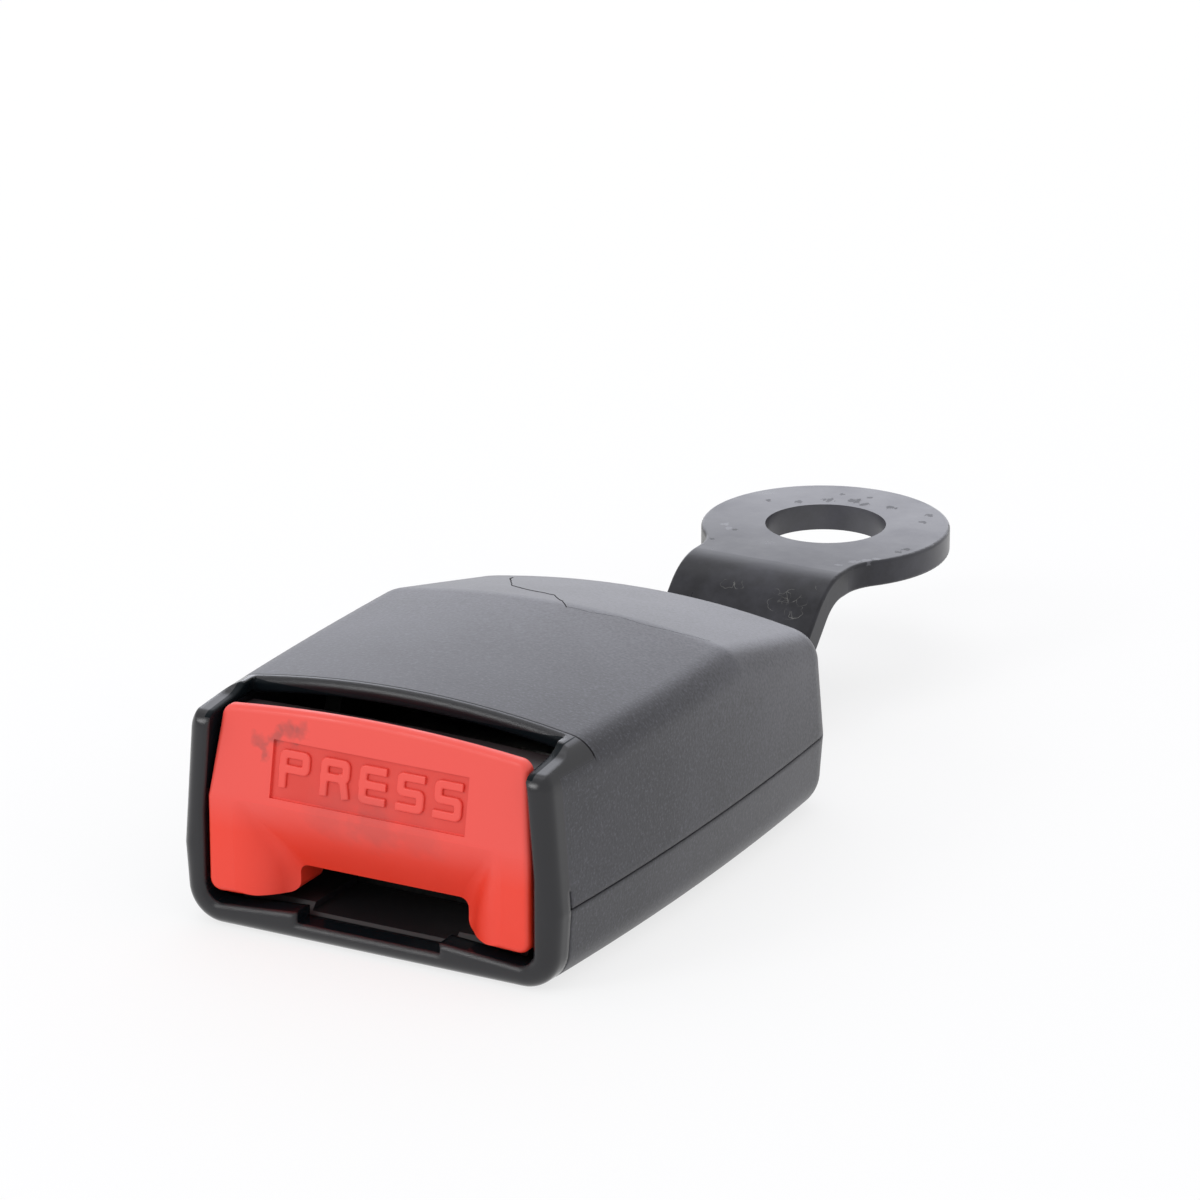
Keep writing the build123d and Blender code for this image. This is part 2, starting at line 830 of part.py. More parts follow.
# Retaining clips on both ends of the pin
with BuildPart() as latch_pin_clips:
    for x in (-frame_half_width - clip_thickness - running_gap, frame_half_width + running_gap):
        with BuildSketch(side(x)):
            with Locations((pivot_depth, pivot_height)):
                Circle(pin_radius + clip_rim)
                Circle(pin_radius, mode=Mode.SUBTRACT)
                with Locations((0, pin_radius)):
                    Rectangle(clip_opening, 2 * pin_radius, mode=Mode.SUBTRACT)
        extrude(amount=clip_thickness)

save(latch_pin_clips, "latch_pin_clips")

with BuildPart() as lock_bar:
    extrude(side_disc(-bar_half_length, bar_depth, bar_height, bar_radius), amount=2 * bar_half_length)
    chamfer(lock_bar.edges().filter_by(GeomType.CIRCLE), bar_chamfer)

save(lock_bar, "lock_bar")

# Ejector: a cross web between the frame walls, with two arms that pass beside the nose of the latch
with BuildPart() as ejector:
    height = ejector_high - ejector_low
    extrude(
        plan_box(ejector_low, -ejector_half_width, ejector_half_width, ejector_web, ejector_rear),
        amount=height,
    )
    for sign in (-1, 1):
        inner = sign * ejector_arm_inner
        outer = sign * ejector_arm_outer
        extrude(
            plan_box(ejector_low, min(inner, outer), max(inner, outer), ejector_front, ejector_web),
            amount=height,
        )
    fillet(ejector.edges().filter_by(Axis.Z).group_by(Axis.Y)[0], ejector_corner_radius)
    fillet(ejector.edges().filter_by(Axis.Z).group_by(Axis.Y)[-1], ejector_corner_radius)
    extrude(
        section_disc(ejector_rear + 1, 0, rod_height, rod_radius + rod_gap), amount=reach, mode=Mode.SUBTRACT
    )

save(ejector, "ejector")

# Rod that the ejector spring is threaded on
with BuildPart() as ejector_rod:
    extrude(section_disc(tab_depth, 0, rod_height, rod_radius), amount=tab_depth - rod_front)
    chamfer(ejector_rod.edges().filter_by(GeomType.CIRCLE).sort_by(Axis.Y)[0], rod_chamfer)

save(ejector_rod, "ejector_rod")


# A coil spring along +Y, from a depth, as a wire swept along its helix
def coil_spring(depth, x, height, radius, pitch, length):
    with BuildPart() as spring:
        with BuildLine():
            helix = Helix(
                pitch,
                length - 2 * wire_radius,
                radius,
                center=(x, mouth_y + depth + wire_radius, floor_z + height),
                direction=(0, 1, 0),
            )
        with BuildSketch(Plane(origin=helix @ 0, z_dir=helix % 0)):
            RegularPolygon(wire_radius, 6)
        sweep(is_frenet=True)
    return spring


ejector_spring = coil_spring(
    ejector_rear, 0, rod_height, ejector_coil_radius, ejector_coil_pitch, tab_depth - ejector_rear
)
save(ejector_spring, "ejector_spring")

for name, sign in (("button_spring_left", -1), ("button_spring_right", 1)):
    button_spring = coil_spring(
        button_depth,
        sign * button_spring_x,
        button_spring_height,
        button_coil_radius,
        button_coil_pitch,
        stop_depth - button_depth,
    )
    save(button_spring, name)

with BuildPart() as button_spring_pegs:
    for sign in (-1, 1):
        extrude(
            section_disc(stop_depth, sign * button_spring_x, button_spring_height, peg_radius),
            amount=peg_length,
        )
    chamfer(button_spring_pegs.edges().filter_by(GeomType.CIRCLE).group_by(Axis.Y)[0], peg_chamfer)

save(button_spring_pegs, "button_spring_pegs")

with BuildPart() as anti_rattle_pads:
    for x in (-frame_half_width + pad_inset, frame_half_width - sheet + pad_inset):
        extrude(
            plan_box(frame_wall_top, x, x + sheet - 2 * pad_inset, bridge_front, bridge_rear),
            amount=pad_height - frame_wall_top,
        )

save(anti_rattle_pads, "anti_rattle_pads")

with BuildPart() as cover_screws:
    extrude(screw_discs(screw_head_low, screw_head_radius), amount=screw_head_high - screw_head_low)
    chamfer(cover_screws.edges().group_by(Axis.Z)[0], screw_chamfer)
    extrude(screw_discs(screw_head_high, screw_radius), amount=screw_top - screw_head_high)
    chamfer(cover_screws.edges().group_by(Axis.Z)[-1], screw_chamfer)

save(cover_screws, "cover_screws")
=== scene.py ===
import bpy
import math
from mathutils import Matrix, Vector


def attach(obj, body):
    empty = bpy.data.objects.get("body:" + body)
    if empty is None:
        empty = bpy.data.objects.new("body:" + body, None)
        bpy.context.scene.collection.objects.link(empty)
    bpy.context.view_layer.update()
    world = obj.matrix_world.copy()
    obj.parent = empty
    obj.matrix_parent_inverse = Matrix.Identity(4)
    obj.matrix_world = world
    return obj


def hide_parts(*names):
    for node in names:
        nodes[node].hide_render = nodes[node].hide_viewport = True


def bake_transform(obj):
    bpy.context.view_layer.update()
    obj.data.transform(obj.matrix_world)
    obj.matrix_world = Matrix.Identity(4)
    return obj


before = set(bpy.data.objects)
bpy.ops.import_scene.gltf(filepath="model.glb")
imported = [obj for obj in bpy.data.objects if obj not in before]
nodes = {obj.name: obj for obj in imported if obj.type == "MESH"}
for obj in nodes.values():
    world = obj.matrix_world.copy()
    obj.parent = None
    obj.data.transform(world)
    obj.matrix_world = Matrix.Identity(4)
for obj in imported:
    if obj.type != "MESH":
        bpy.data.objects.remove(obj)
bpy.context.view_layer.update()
scene = bpy.context.scene
mm = 0.001  # the part is in metres, its sizes are written in millimetres
mouthY = -102.0  # depths below are measured back from the mouth, as in the part's source
floorZ = -12.4

bpy.ops.object.select_all(action="DESELECT")
print("stage: frame loaded,", len(nodes), "nodes")


def hexColour(code):  # sRGB hex to linear
    parts = [int(code[i:i + 2], 16) / 255 for i in (0, 2, 4)]
    return [p / 12.92 if p <= 0.04045 else ((p + 0.055) / 1.055) ** 2.4 for p in parts] + [1.0]


def addNode(tree, kind, settings=None, links=None):  # one node with its settings and its links
    node = tree.nodes.new(kind)
    for key, value in (settings or {}).items():
        if isinstance(key, int) or key in node.inputs:
            node.inputs[key].default_value = value
        else:
            setattr(node, key, value)
    for key, source in (links or {}).items():
        tree.links.new(source, node.inputs[key])
    return node


def startMaterial(name):
    material = bpy.data.materials.new(name)
    material.use_nodes = True
    tree = material.node_tree
    tree.nodes.clear()
    output = addNode(tree, "ShaderNodeOutputMaterial")
    place = addNode(tree, "ShaderNodeTexCoord").outputs["Object"]
    return material, tree, output, place


def deselect():
    if bpy.context.mode != "OBJECT":
        bpy.ops.object.mode_set(mode="OBJECT")
    bpy.ops.object.select_all(action="DESELECT")


def settle(piece):  # the piece's place goes into its mesh
    deselect()
    piece.select_set(True)
    bpy.context.view_layer.objects.active = piece
    bpy.ops.object.transform_apply(location=True, rotation=True, scale=True)
    piece.select_set(False)


# camera

viewCamera = {
    "azimuth": 28.492,
    "elevation": 19.358,
    "distance": 0.64243,
    "target": (-0.000433, -0.052422, 0.009984),
    "lens": 183.4,
    "sensor": 36,
}


def makeCamera(s):
    az, el = math.radians(s["azimuth"]), math.radians(s["elevation"])
    back = Vector((math.sin(az) * math.cos(el), -math.cos(az) * math.cos(el), math.sin(el)))
    bpy.ops.object.camera_add(location=Vector(s["target"]) + back * s["distance"])
    camera = bpy.context.object
    camera.name = "viewCamera"
    camera.rotation_euler = back.to_track_quat("Z", "Y").to_euler()
    camera.data.lens = s["lens"]
    camera.data.sensor_width = s["sensor"]
    camera.data.clip_start = 0.01
    scene.camera = camera


makeCamera(viewCamera)
deselect()

# floor

studioFloor = {"size": 6.0, "gap": 0.02, "colour": "f2f2f4", "glow": 0.75, "mirrored": 1.0}


def makeFloor(s):
    bpy.ops.mesh.primitive_plane_add(size=s["size"], location=(0, 0, (floorZ - s["gap"]) * mm))
    floor = bpy.context.object
    floor.name = "studioFloor"
    material, tree, output, place = startMaterial("whiteStudioCard")
    card = addNode(tree, "ShaderNodeBsdfDiffuse", {"Color": hexColour(s["colour"])})
    glow = addNode(tree, "ShaderNodeEmission", {"Strength": 1.0})
    seen = addNode(tree, "ShaderNodeLightPath")
    direct = addNode(tree, "ShaderNodeMath", {"operation": "MULTIPLY", 1: s["glow"]},
                     {0: seen.outputs["Is Camera Ray"]})
    share = addNode(tree, "ShaderNodeMath", {"operation": "MULTIPLY_ADD", 1: s["mirrored"]},
                    {0: seen.outputs["Is Glossy Ray"], 2: direct.outputs[0]})
    lit = addNode(tree, "ShaderNodeMixShader", {},
                  {0: share.outputs[0], 1: card.outputs[0], 2: glow.outputs[0]})
    tree.links.new(lit.outputs[0], output.inputs["Surface"])
    floor.data.materials.append(material)


makeFloor(studioFloor)
deselect()

# light: a white tent, with one lamp low behind that the flat tops mirror, one above and a small one in front
# that puts a bright line on polished edges

softboxes = [
    {"name": "backSoftbox", "place": (-0.5, 1.0, 0.42), "size": 1.1, "power": 5.0, "colour": "eef1ff"},
    {"name": "overheadSoftbox", "place": (-0.1, 0.1, 0.9), "size": 0.7, "power": 1.0, "colour": "f8f9ff"},
    {"name": "frontSoftbox", "place": (-0.42, -0.75, 0.5), "size": 0.3, "power": 1.55, "colour": "ffffff"},
]
aimPoint = (0, -0.06, 0)


def makeSoftbox(s):
    bpy.ops.object.light_add(type="AREA", location=s["place"])
    lamp = bpy.context.object
    lamp.name = s["name"]
    lamp.data.size = s["size"]
    lamp.data.energy = s["power"]
    lamp.data.color = hexColour(s["colour"])[:3]
    toward = Vector(aimPoint) - Vector(s["place"])
    lamp.rotation_euler = toward.to_track_quat("-Z", "Y").to_euler()


for softbox in softboxes:
    makeSoftbox(softbox)
deselect()

paleRoom = {"ambient": 0.85, "backdrop": 1.0}


def makeRoom(s):
    world = bpy.data.worlds.new("paleRoom")
    scene.world = world
    world.use_nodes = True
    tree = world.node_tree
    tree.nodes.clear()
    output = addNode(tree, "ShaderNodeOutputWorld")
    room = addNode(tree, "ShaderNodeBackground", {"Color": (1, 1, 1, 1), "Strength": s["ambient"]})
    backdrop = addNode(tree, "ShaderNodeBackground", {"Color": (1, 1, 1, 1), "Strength": s["backdrop"]})
    seen = addNode(tree, "ShaderNodeLightPath")
    mix = addNode(tree, "ShaderNodeMixShader", {},
                  {0: seen.outputs["Is Camera Ray"], 1: room.outputs[0], 2: backdrop.outputs[0]})
    tree.links.new(mix.outputs[0], output.inputs["Surface"])


makeRoom(paleRoom)
scene.view_settings.view_transform = "Standard"
print("stage: camera, floor and light")

# polypropylene moulded against a spark-eroded tool: the fine grain scatters the highlight into a grey sheen
# with pale specks, the polished rim round the mouth stays darker and glossier, a near-black line of painted
# shade stands for a fine step that ends the grain at the roof, and the walls inside the mouth are painted
# near black as painted shade and mirror almost nothing

housingPlastic = {
    "dark": "24242a", "pale": "36363d", "speck": "4c4c55", "dusty": "58585f",
    # the inside colour on the next line is painted shade for the walls inside the mouth
    # the step colour on the next line is painted shade of a fine step at the roof
    "rim": "1c1c20", "inside": "10161a", "step": "060608",
    "grain": 0.32, "cloud": 9.0, "grainDepth": 0.04, "grainBump": 0.55, "rimBump": 0.03, "eased": 0.7,
    "roughness": 0.42, "rimRoughness": 0.17, "sheenFront": 0.49, "sheenBack": 0.6, "sheenEnd": 60.0,
    "dustStart": 16.0, "dustEnd": 56.0, "dustLow": 8.0, "dustHigh": 22.5, "leastDust": 0.22,
    "rimEnd": 2.9, "borderEnd": 9.3, "fade": 0.1, "borderLow": 21.4, "borderFade": 0.8, "stepWidth": 0.26,
    "insideX": 18.7, "insideFront": 0.5, "insideEnd": 9.2, "insideLow": 1.2, "insideTop": 23.8,
    "insideSheen": 0.08,
}


def makeHousingPlastic(s):
    material, tree, output, place = startMaterial("grainedPolypropylene")
    grain = addNode(tree, "ShaderNodeTexNoise",
                    {"Scale": 1 / (s["grain"] * mm), "Detail": 2.0, "Roughness": 0.6},
                    {"Vector": place})
    cloud = addNode(tree, "ShaderNodeTexNoise", {"Scale": 1 / (s["cloud"] * mm), "Detail": 4.0},
                    {"Vector": place})
    both = addNode(tree, "ShaderNodeMix", {"data_type": "FLOAT", 0: 0.3},
                   {2: grain.outputs[0], 3: cloud.outputs[0]})
    spread = addNode(tree, "ShaderNodeMapRange", {"From Min": 0.36, "From Max": 0.64},
                     {"Value": both.outputs[0]})
    plain = addNode(tree, "ShaderNodeMix",
                    {"data_type": "RGBA", 6: hexColour(s["dark"]), 7: hexColour(s["pale"])},
                    {0: spread.outputs[0]})
    spot = addNode(tree, "ShaderNodeSeparateXYZ", {}, {0: place})
    settled = addNode(tree, "ShaderNodeMapRange", {"From Min": (mouthY + s["dustStart"]) * mm,
                                                   "From Max": (mouthY + s["dustEnd"]) * mm},
                      {"Value": spot.outputs["Y"]})
    upward = addNode(tree, "ShaderNodeMapRange", {"From Min": (floorZ + s["dustLow"]) * mm,
                                                  "From Max": (floorZ + s["dustHigh"]) * mm,
                                                  "To Min": s["leastDust"]},
                     {"Value": spot.outputs["Z"]})
    lying = addNode(tree, "ShaderNodeMath", {"operation": "MULTIPLY"},
                    {0: settled.outputs[0], 1: upward.outputs[0]})
    uneven = addNode(tree, "ShaderNodeMapRange", {"To Min": 0.3}, {"Value": spread.outputs[0]})
    caught = addNode(tree, "ShaderNodeMath", {"operation": "MULTIPLY"},
                     {0: lying.outputs[0], 1: uneven.outputs[0]})
    plain = addNode(tree, "ShaderNodeMix", {"data_type": "RGBA", 7: hexColour(s["dusty"])},
                    {0: caught.outputs[0], 6: plain.outputs[2]})  # dust in the grain, most towards the back
    peaks = addNode(tree, "ShaderNodeMapRange", {"From Min": 0.58, "From Max": 0.7, "To Max": 0.6},
                    {"Value": grain.outputs[0]})
    body = addNode(tree, "ShaderNodeMix", {"data_type": "RGBA", 7: hexColour(s["speck"])},
                   {0: peaks.outputs[0], 6: plain.outputs[2]})
    rimEnd = (mouthY + s["rimEnd"]) * mm
    borderEnd = (mouthY + s["borderEnd"]) * mm
    borderLow = (floorZ + s["borderLow"]) * mm
    fade = s["fade"] * mm
    rim = addNode(tree, "ShaderNodeMapRange", {"From Min": rimEnd + fade, "From Max": rimEnd - fade},
                  {"Value": spot.outputs["Y"]})
    front = addNode(tree, "ShaderNodeMapRange", {"From Min": borderEnd + fade, "From Max": borderEnd - fade},
                    {"Value": spot.outputs["Y"]})
    high = addNode(tree, "ShaderNodeMapRange",
                   {"From Min": borderLow, "From Max": borderLow + s["borderFade"] * mm},
                   {"Value": spot.outputs["Z"]})
    border = addNode(tree, "ShaderNodeMath", {"operation": "MULTIPLY"},
                     {0: front.outputs[0], 1: high.outputs[0]})
    polished = addNode(tree, "ShaderNodeMath", {"operation": "MAXIMUM"},
                       {0: rim.outputs[0], 1: border.outputs[0]})
    toned = addNode(tree, "ShaderNodeMix", {"data_type": "RGBA", 7: hexColour(s["rim"])},
                    {0: polished.outputs[0], 6: body.outputs[2]})
    # painted shade: a near-black line along the roof, standing for the shade of a fine step that the mesh does
    # not have
    halfStep = 0.5 * s["stepWidth"] * mm
    step = addNode(tree, "ShaderNodeMath", {"operation": "COMPARE", 1: borderEnd + halfStep, 2: halfStep},
                   {0: spot.outputs["Y"]})
    stepLine = addNode(tree, "ShaderNodeMath", {"operation": "MULTIPLY"},
                       {0: step.outputs[0], 1: high.outputs[0]})
    colour = addNode(tree, "ShaderNodeMix", {"data_type": "RGBA", 7: hexColour(s["step"])},
                     {0: stepLine.outputs[0], 6: toned.outputs[2]})
    across = addNode(tree, "ShaderNodeMath", {"operation": "ABSOLUTE"}, {0: spot.outputs["X"]})
    inside = None
    for source, side, limit in ((across.outputs[0], "LESS_THAN", s["insideX"] * mm),
                                (spot.outputs["Y"], "GREATER_THAN", (mouthY + s["insideFront"]) * mm),
                                (spot.outputs["Y"], "LESS_THAN", (mouthY + s["insideEnd"]) * mm),
                                (spot.outputs["Z"], "GREATER_THAN", (floorZ + s["insideLow"]) * mm),
                                (spot.outputs["Z"], "LESS_THAN", (floorZ + s["insideTop"]) * mm)):
        within = addNode(tree, "ShaderNodeMath", {"operation": side, 1: limit}, {0: source}).outputs[0]
        inside = within if inside is None else addNode(tree, "ShaderNodeMath", {"operation": "MULTIPLY"},
                                                       {0: inside, 1: within}).outputs[0]
    # painted shade: the walls inside the mouth are painted near black, as if in shadow
    colour = addNode(tree, "ShaderNodeMix", {"data_type": "RGBA", 7: hexColour(s["inside"])},
                     {0: inside, 6: colour.outputs[2]})
    dull = addNode(tree, "ShaderNodeMath", {"operation": "MAXIMUM"}, {0: stepLine.outputs[0], 1: inside})
    sheen = addNode(tree, "ShaderNodeMapRange",
                    {"From Min": borderEnd, "From Max": (mouthY + s["sheenEnd"]) * mm,
                     "To Min": s["sheenFront"], "To Max": s["sheenBack"]},
                    {"Value": spot.outputs["Y"]})  # hands rub the front dull
    mirror = addNode(tree, "ShaderNodeMapRange", {"To Max": s["insideSheen"]},
                     {"Value": dull.outputs[0], "To Min": sheen.outputs[0]})
    gloss = addNode(tree, "ShaderNodeMapRange", {"To Min": s["roughness"], "To Max": s["rimRoughness"]},
                    {"Value": polished.outputs[0]})
    calm = addNode(tree, "ShaderNodeMapRange", {"To Min": s["grainBump"], "To Max": s["rimBump"]},
                   {"Value": polished.outputs[0]})
    eased = addNode(tree, "ShaderNodeBevel", {"samples": 6, "Radius": s["eased"] * mm})
    bump = addNode(tree, "ShaderNodeBump", {"Distance": s["grainDepth"] * mm},
                   {"Height": grain.outputs[0], "Strength": calm.outputs[0], "Normal": eased.outputs[0]})
    shader = addNode(tree, "ShaderNodeBsdfPrincipled", {"IOR": 1.49},
                     {"Base Color": colour.outputs[2], "Roughness": gloss.outputs[0], "Normal": bump.outputs[0],
                      "Specular IOR Level": mirror.outputs[0]})
    tree.links.new(shader.outputs[0], output.inputs["Surface"])
    return material


# the oblong panel in the button's face, as in the part's source: where its middle lies at the level of the
# face, how far it leans back, how deep it is and where it ends

buttonPanel = {
    "back": 0.867, "height": 17.85, "lean": 10.724, "recess": 0.35,
    "halfWidth": 11.2, "low": 15.0, "high": 20.7,
}


def panelPlace(panel):  # the middle of the panel, in millimetres, and the direction that it faces
    lean = math.radians(panel["lean"])
    middle = Vector((0, mouthY + panel["back"], floorZ + panel["height"]))
    return middle, Vector((0, -math.cos(lean), math.sin(lean)))


# red ABS, moulded smooth: handling has dulled the face and left dust in the panel; the scooped lead-in below
# is painted a deeper red as painted shade for its downward tilt, and behind the lip the red is painted dark as
# shade

buttonPlastic = {
    # the last colour on the next line is painted shade for the button behind its lip
    # the scoop colour on the next line is a painted shade of the face red
    "face": "ec5046", "scoop": "ee3c26", "panel": "d93c30", "smudge": "6f4644", "shadeBehindLip": "241a1c",
    "roughness": 0.42, "orangePeel": 1.6, "peelDepth": 0.01, "cloud": 7.0,
    "waist": 13.6, "waistFade": 3.0, "waistRise": 1.0, "dustTop": 0.1, "dustFloor": 0.28, "raggedness": 0.8,
    "lipEnd": 2.9, "lipFade": 0.4, "lipLow": 15.0, "lipRise": 2.0,
    # thumb marks: place, height, radius and strength
    "smudges": [(-9.4, 21.7, 1.3, 0.4), (-8.2, 22.0, 1.1, 0.35), (-12.6, 20.3, 1.2, 0.34),
                (-10.9, 21.0, 1.1, 0.4), (-12.2, 19.7, 0.8, 0.28), (0.9, 14.0, 3.4, 0.22),
                (-4.0, 14.4, 3.6, 0.16), (6.0, 13.8, 3.0, 0.12)],
}


def makeButtonPlastic(s, panel):
    material, tree, output, place = startMaterial("redMouldedAbs")
    spot = addNode(tree, "ShaderNodeSeparateXYZ", {}, {0: place})
    cloud = addNode(tree, "ShaderNodeTexNoise", {"Scale": 1 / (s["cloud"] * mm), "Detail": 4.0},
                    {"Vector": place})
    peel = addNode(tree, "ShaderNodeTexNoise", {"Scale": 1 / (s["orangePeel"] * mm), "Detail": 2.0},
                   {"Vector": place})
    # painted shade: the scoop, which tilts down, is painted a deeper, less bright red than the face
    waist = (floorZ + s["waist"]) * mm
    upper = addNode(tree, "ShaderNodeMapRange",
                    {"From Min": waist - s["waistFade"] * mm, "From Max": waist + s["waistRise"] * mm},
                    {"Value": spot.outputs["Z"]})
    face = addNode(tree, "ShaderNodeMix",
                   {"data_type": "RGBA", 6: hexColour(s["scoop"]), 7: hexColour(s["face"])},
                   {0: upper.outputs[0]})
    side = addNode(tree, "ShaderNodeMath", {"operation": "ABSOLUTE"}, {0: spot.outputs["X"]})
    inX = addNode(tree, "ShaderNodeMath", {"operation": "LESS_THAN", 1: panel["halfWidth"] * mm},
                  {0: side.outputs[0]})
    low = addNode(tree, "ShaderNodeMath", {"operation": "GREATER_THAN", 1: (floorZ + panel["low"]) * mm},
                  {0: spot.outputs["Z"]})
    high = addNode(tree, "ShaderNodeMath", {"operation": "LESS_THAN", 1: (floorZ + panel["high"]) * mm},
                   {0: spot.outputs["Z"]})
    band = addNode(tree, "ShaderNodeMath", {"operation": "MULTIPLY"}, {0: low.outputs[0], 1: high.outputs[0]})
    framed = addNode(tree, "ShaderNodeMath", {"operation": "MULTIPLY"},
                     {0: band.outputs[0], 1: inX.outputs[0]})
    middle, facing = panelPlace(panel)
    outward = addNode(tree, "ShaderNodeVectorMath", {"operation": "DOT_PRODUCT", 1: facing}, {0: place})
    faceOut = middle.dot(facing)
    deep = addNode(tree, "ShaderNodeMapRange",
                   {"From Min": (faceOut - s["dustTop"]) * mm, "From Max": (faceOut - s["dustFloor"]) * mm},
                   {"Value": outward.outputs["Value"]})  # the panel's floor keeps the dust, the letters don't
    sunken = addNode(tree, "ShaderNodeMath", {"operation": "MULTIPLY"},
                     {0: framed.outputs[0], 1: deep.outputs[0]})
    dust = addNode(tree, "ShaderNodeMapRange", {"From Min": 0.3, "From Max": 0.7, "To Min": 0.5},
                   {"Value": cloud.outputs[0]})
    dusty = addNode(tree, "ShaderNodeMath", {"operation": "MULTIPLY"},
                    {0: sunken.outputs[0], 1: dust.outputs[0]})
    colour = addNode(tree, "ShaderNodeMix", {"data_type": "RGBA", 7: hexColour(s["panel"])},
                     {0: dusty.outputs[0], 6: face.outputs[2]}).outputs[2]
    ragged = addNode(tree, "ShaderNodeMapRange",
                     {"From Min": 0.3, "From Max": 0.7, "To Min": -0.9, "To Max": 0.9},
                     {"Value": peel.outputs[0]})
    flat = addNode(tree, "ShaderNodeCombineXYZ", {}, {"X": spot.outputs["X"], "Z": spot.outputs["Z"]})
    for x, height, radius, strength in s["smudges"]:  # grime rubbed in, with ragged borders
        away = addNode(tree, "ShaderNodeVectorMath",
                       {"operation": "DISTANCE", 1: (x * mm, 0, (floorZ + height) * mm)}, {0: flat.outputs[0]})
        jitter = addNode(tree, "ShaderNodeMath", {"operation": "MULTIPLY_ADD", 1: s["raggedness"] * mm},
                         {0: ragged.outputs[0], 2: away.outputs["Value"]})
        patch = addNode(tree, "ShaderNodeMapRange",
                        {"From Min": radius * mm, "From Max": 0.3 * radius * mm, "To Max": strength},
                        {"Value": jitter.outputs[0]})
        colour = addNode(tree, "ShaderNodeMix", {"data_type": "RGBA", 7: hexColour(s["smudge"])},
                         {0: patch.outputs[0], 6: colour}).outputs[2]
    # painted shade: the button behind its lip, under the roof, is painted nearly black
    lipEnd = (mouthY + s["lipEnd"]) * mm
    behind = addNode(tree, "ShaderNodeMapRange", {"From Min": lipEnd, "From Max": lipEnd + s["lipFade"] * mm},
                     {"Value": spot.outputs["Y"]})
    lipLow = (floorZ + s["lipLow"]) * mm
    above = addNode(tree, "ShaderNodeMapRange", {"From Min": lipLow, "From Max": lipLow + s["lipRise"] * mm},
                    {"Value": spot.outputs["Z"]})
    shadedBehindLip = addNode(tree, "ShaderNodeMath", {"operation": "MULTIPLY"},
                    {0: behind.outputs[0], 1: above.outputs[0]})
    colour = addNode(tree, "ShaderNodeMix", {"data_type": "RGBA", 7: hexColour(s["shadeBehindLip"])},
                     {0: shadedBehindLip.outputs[0], 6: colour}).outputs[2]  # painted shade behind the lip, which the roof keeps in shadow
    gloss = addNode(tree, "ShaderNodeMapRange",
                    {"From Min": 0.3, "From Max": 0.7,
                     "To Min": s["roughness"] - 0.05, "To Max": s["roughness"] + 0.1},
                    {"Value": cloud.outputs[0]})
    bump = addNode(tree, "ShaderNodeBump", {"Distance": s["peelDepth"] * mm, "Strength": 0.3},
                   {"Height": peel.outputs[0]})
    shader = addNode(tree, "ShaderNodeBsdfPrincipled", {"IOR": 1.53},
                     {"Base Color": colour, "Roughness": gloss.outputs[0], "Normal": bump.outputs[0]})
    tree.links.new(shader.outputs[0], output.inputs["Surface"])
    return material


# black dip paint on pressed steel: a smooth sheen with a trace of orange peel, dull pits where it has chipped
# round the eye, rubbed thin at the neck, and curled hair scratches on the slope

strapPaint = {
    "paint": "1f1f24", "worn": "35353c", "dust": "2c2c31",
    "chip": "0a0a0c", "scuff": "6a6a70", "scratch": "8a8986",
    "roughness": 0.3, "peel": 0.9, "peelDepth": 0.015, "cloud": 5.0, "flake": 0.5, "pitting": 2.0,
    "hair": 0.045, "wriggle": 1.6, "bend": 2.4, "gaps": 1.3,
    "dullEnd": -11.0, "dullSheen": 0.34, "sheenEnd": 6.0, "fullSheen": 0.8, "chipSheen": 0.2,
    # chips on the ring: place and reach
    "chips": [(-9.3, 4.2, 3, 0.6), (-6.1, 5.4, 3, 0.7), (-3.4, 7.6, 3, 0.9), (-0.7, 8.7, 3, 1.1),
              (0.8, 8.2, 3, 0.9), (-2.9, 10.2, 3, 0.5), (0.3, 10.7, 3, 0.5), (4.0, 8.6, 3, 0.8),
              (9.1, 8.2, 3, 0.8), (9.4, 5.6, 3, 0.6), (11.9, -3.8, 3, 0.7), (11.6, -5.2, 3, 0.6),
              (-8.7, -10.9, 3, 0.5), (-8.0, -6.8, 3, 0.6)],
    # paint rubbed thin at the neck corners
    "scuffs": [(-9.8, -5.6, 3, 0.7), (-8.8, -6.7, 3, 0.6), (-11.6, -8.2, 3, 0.6), (7.7, -12.1, 3, 0.6),
               (8.8, -10.3, 3, 0.8), (9.8, -9.2, 3, 0.8), (10.4, -8.3, 3, 0.6)],
    # curled scratches on the slope: the middle of each curl and its radius
    "curls": [(4.6, -19.6, 0.9, 0.8), (5.0, -20.2, 0.4, 0.5), (5.6, -19.3, 1.2, 0.9), (4.2, -20.3, 0.3, 1.1),
              (6.6, -20.6, 0.0, 0.7), (7.0, -19.6, 0.9, 0.6), (5.8, -21.0, -0.3, 0.5), (7.4, -18.4, 1.8, 0.8),
              (-2.6, -19.4, 1.2, 0.7), (-1.4, -18.8, 1.5, 0.6), (3.6, -19.0, 1.3, 0.6)],
}


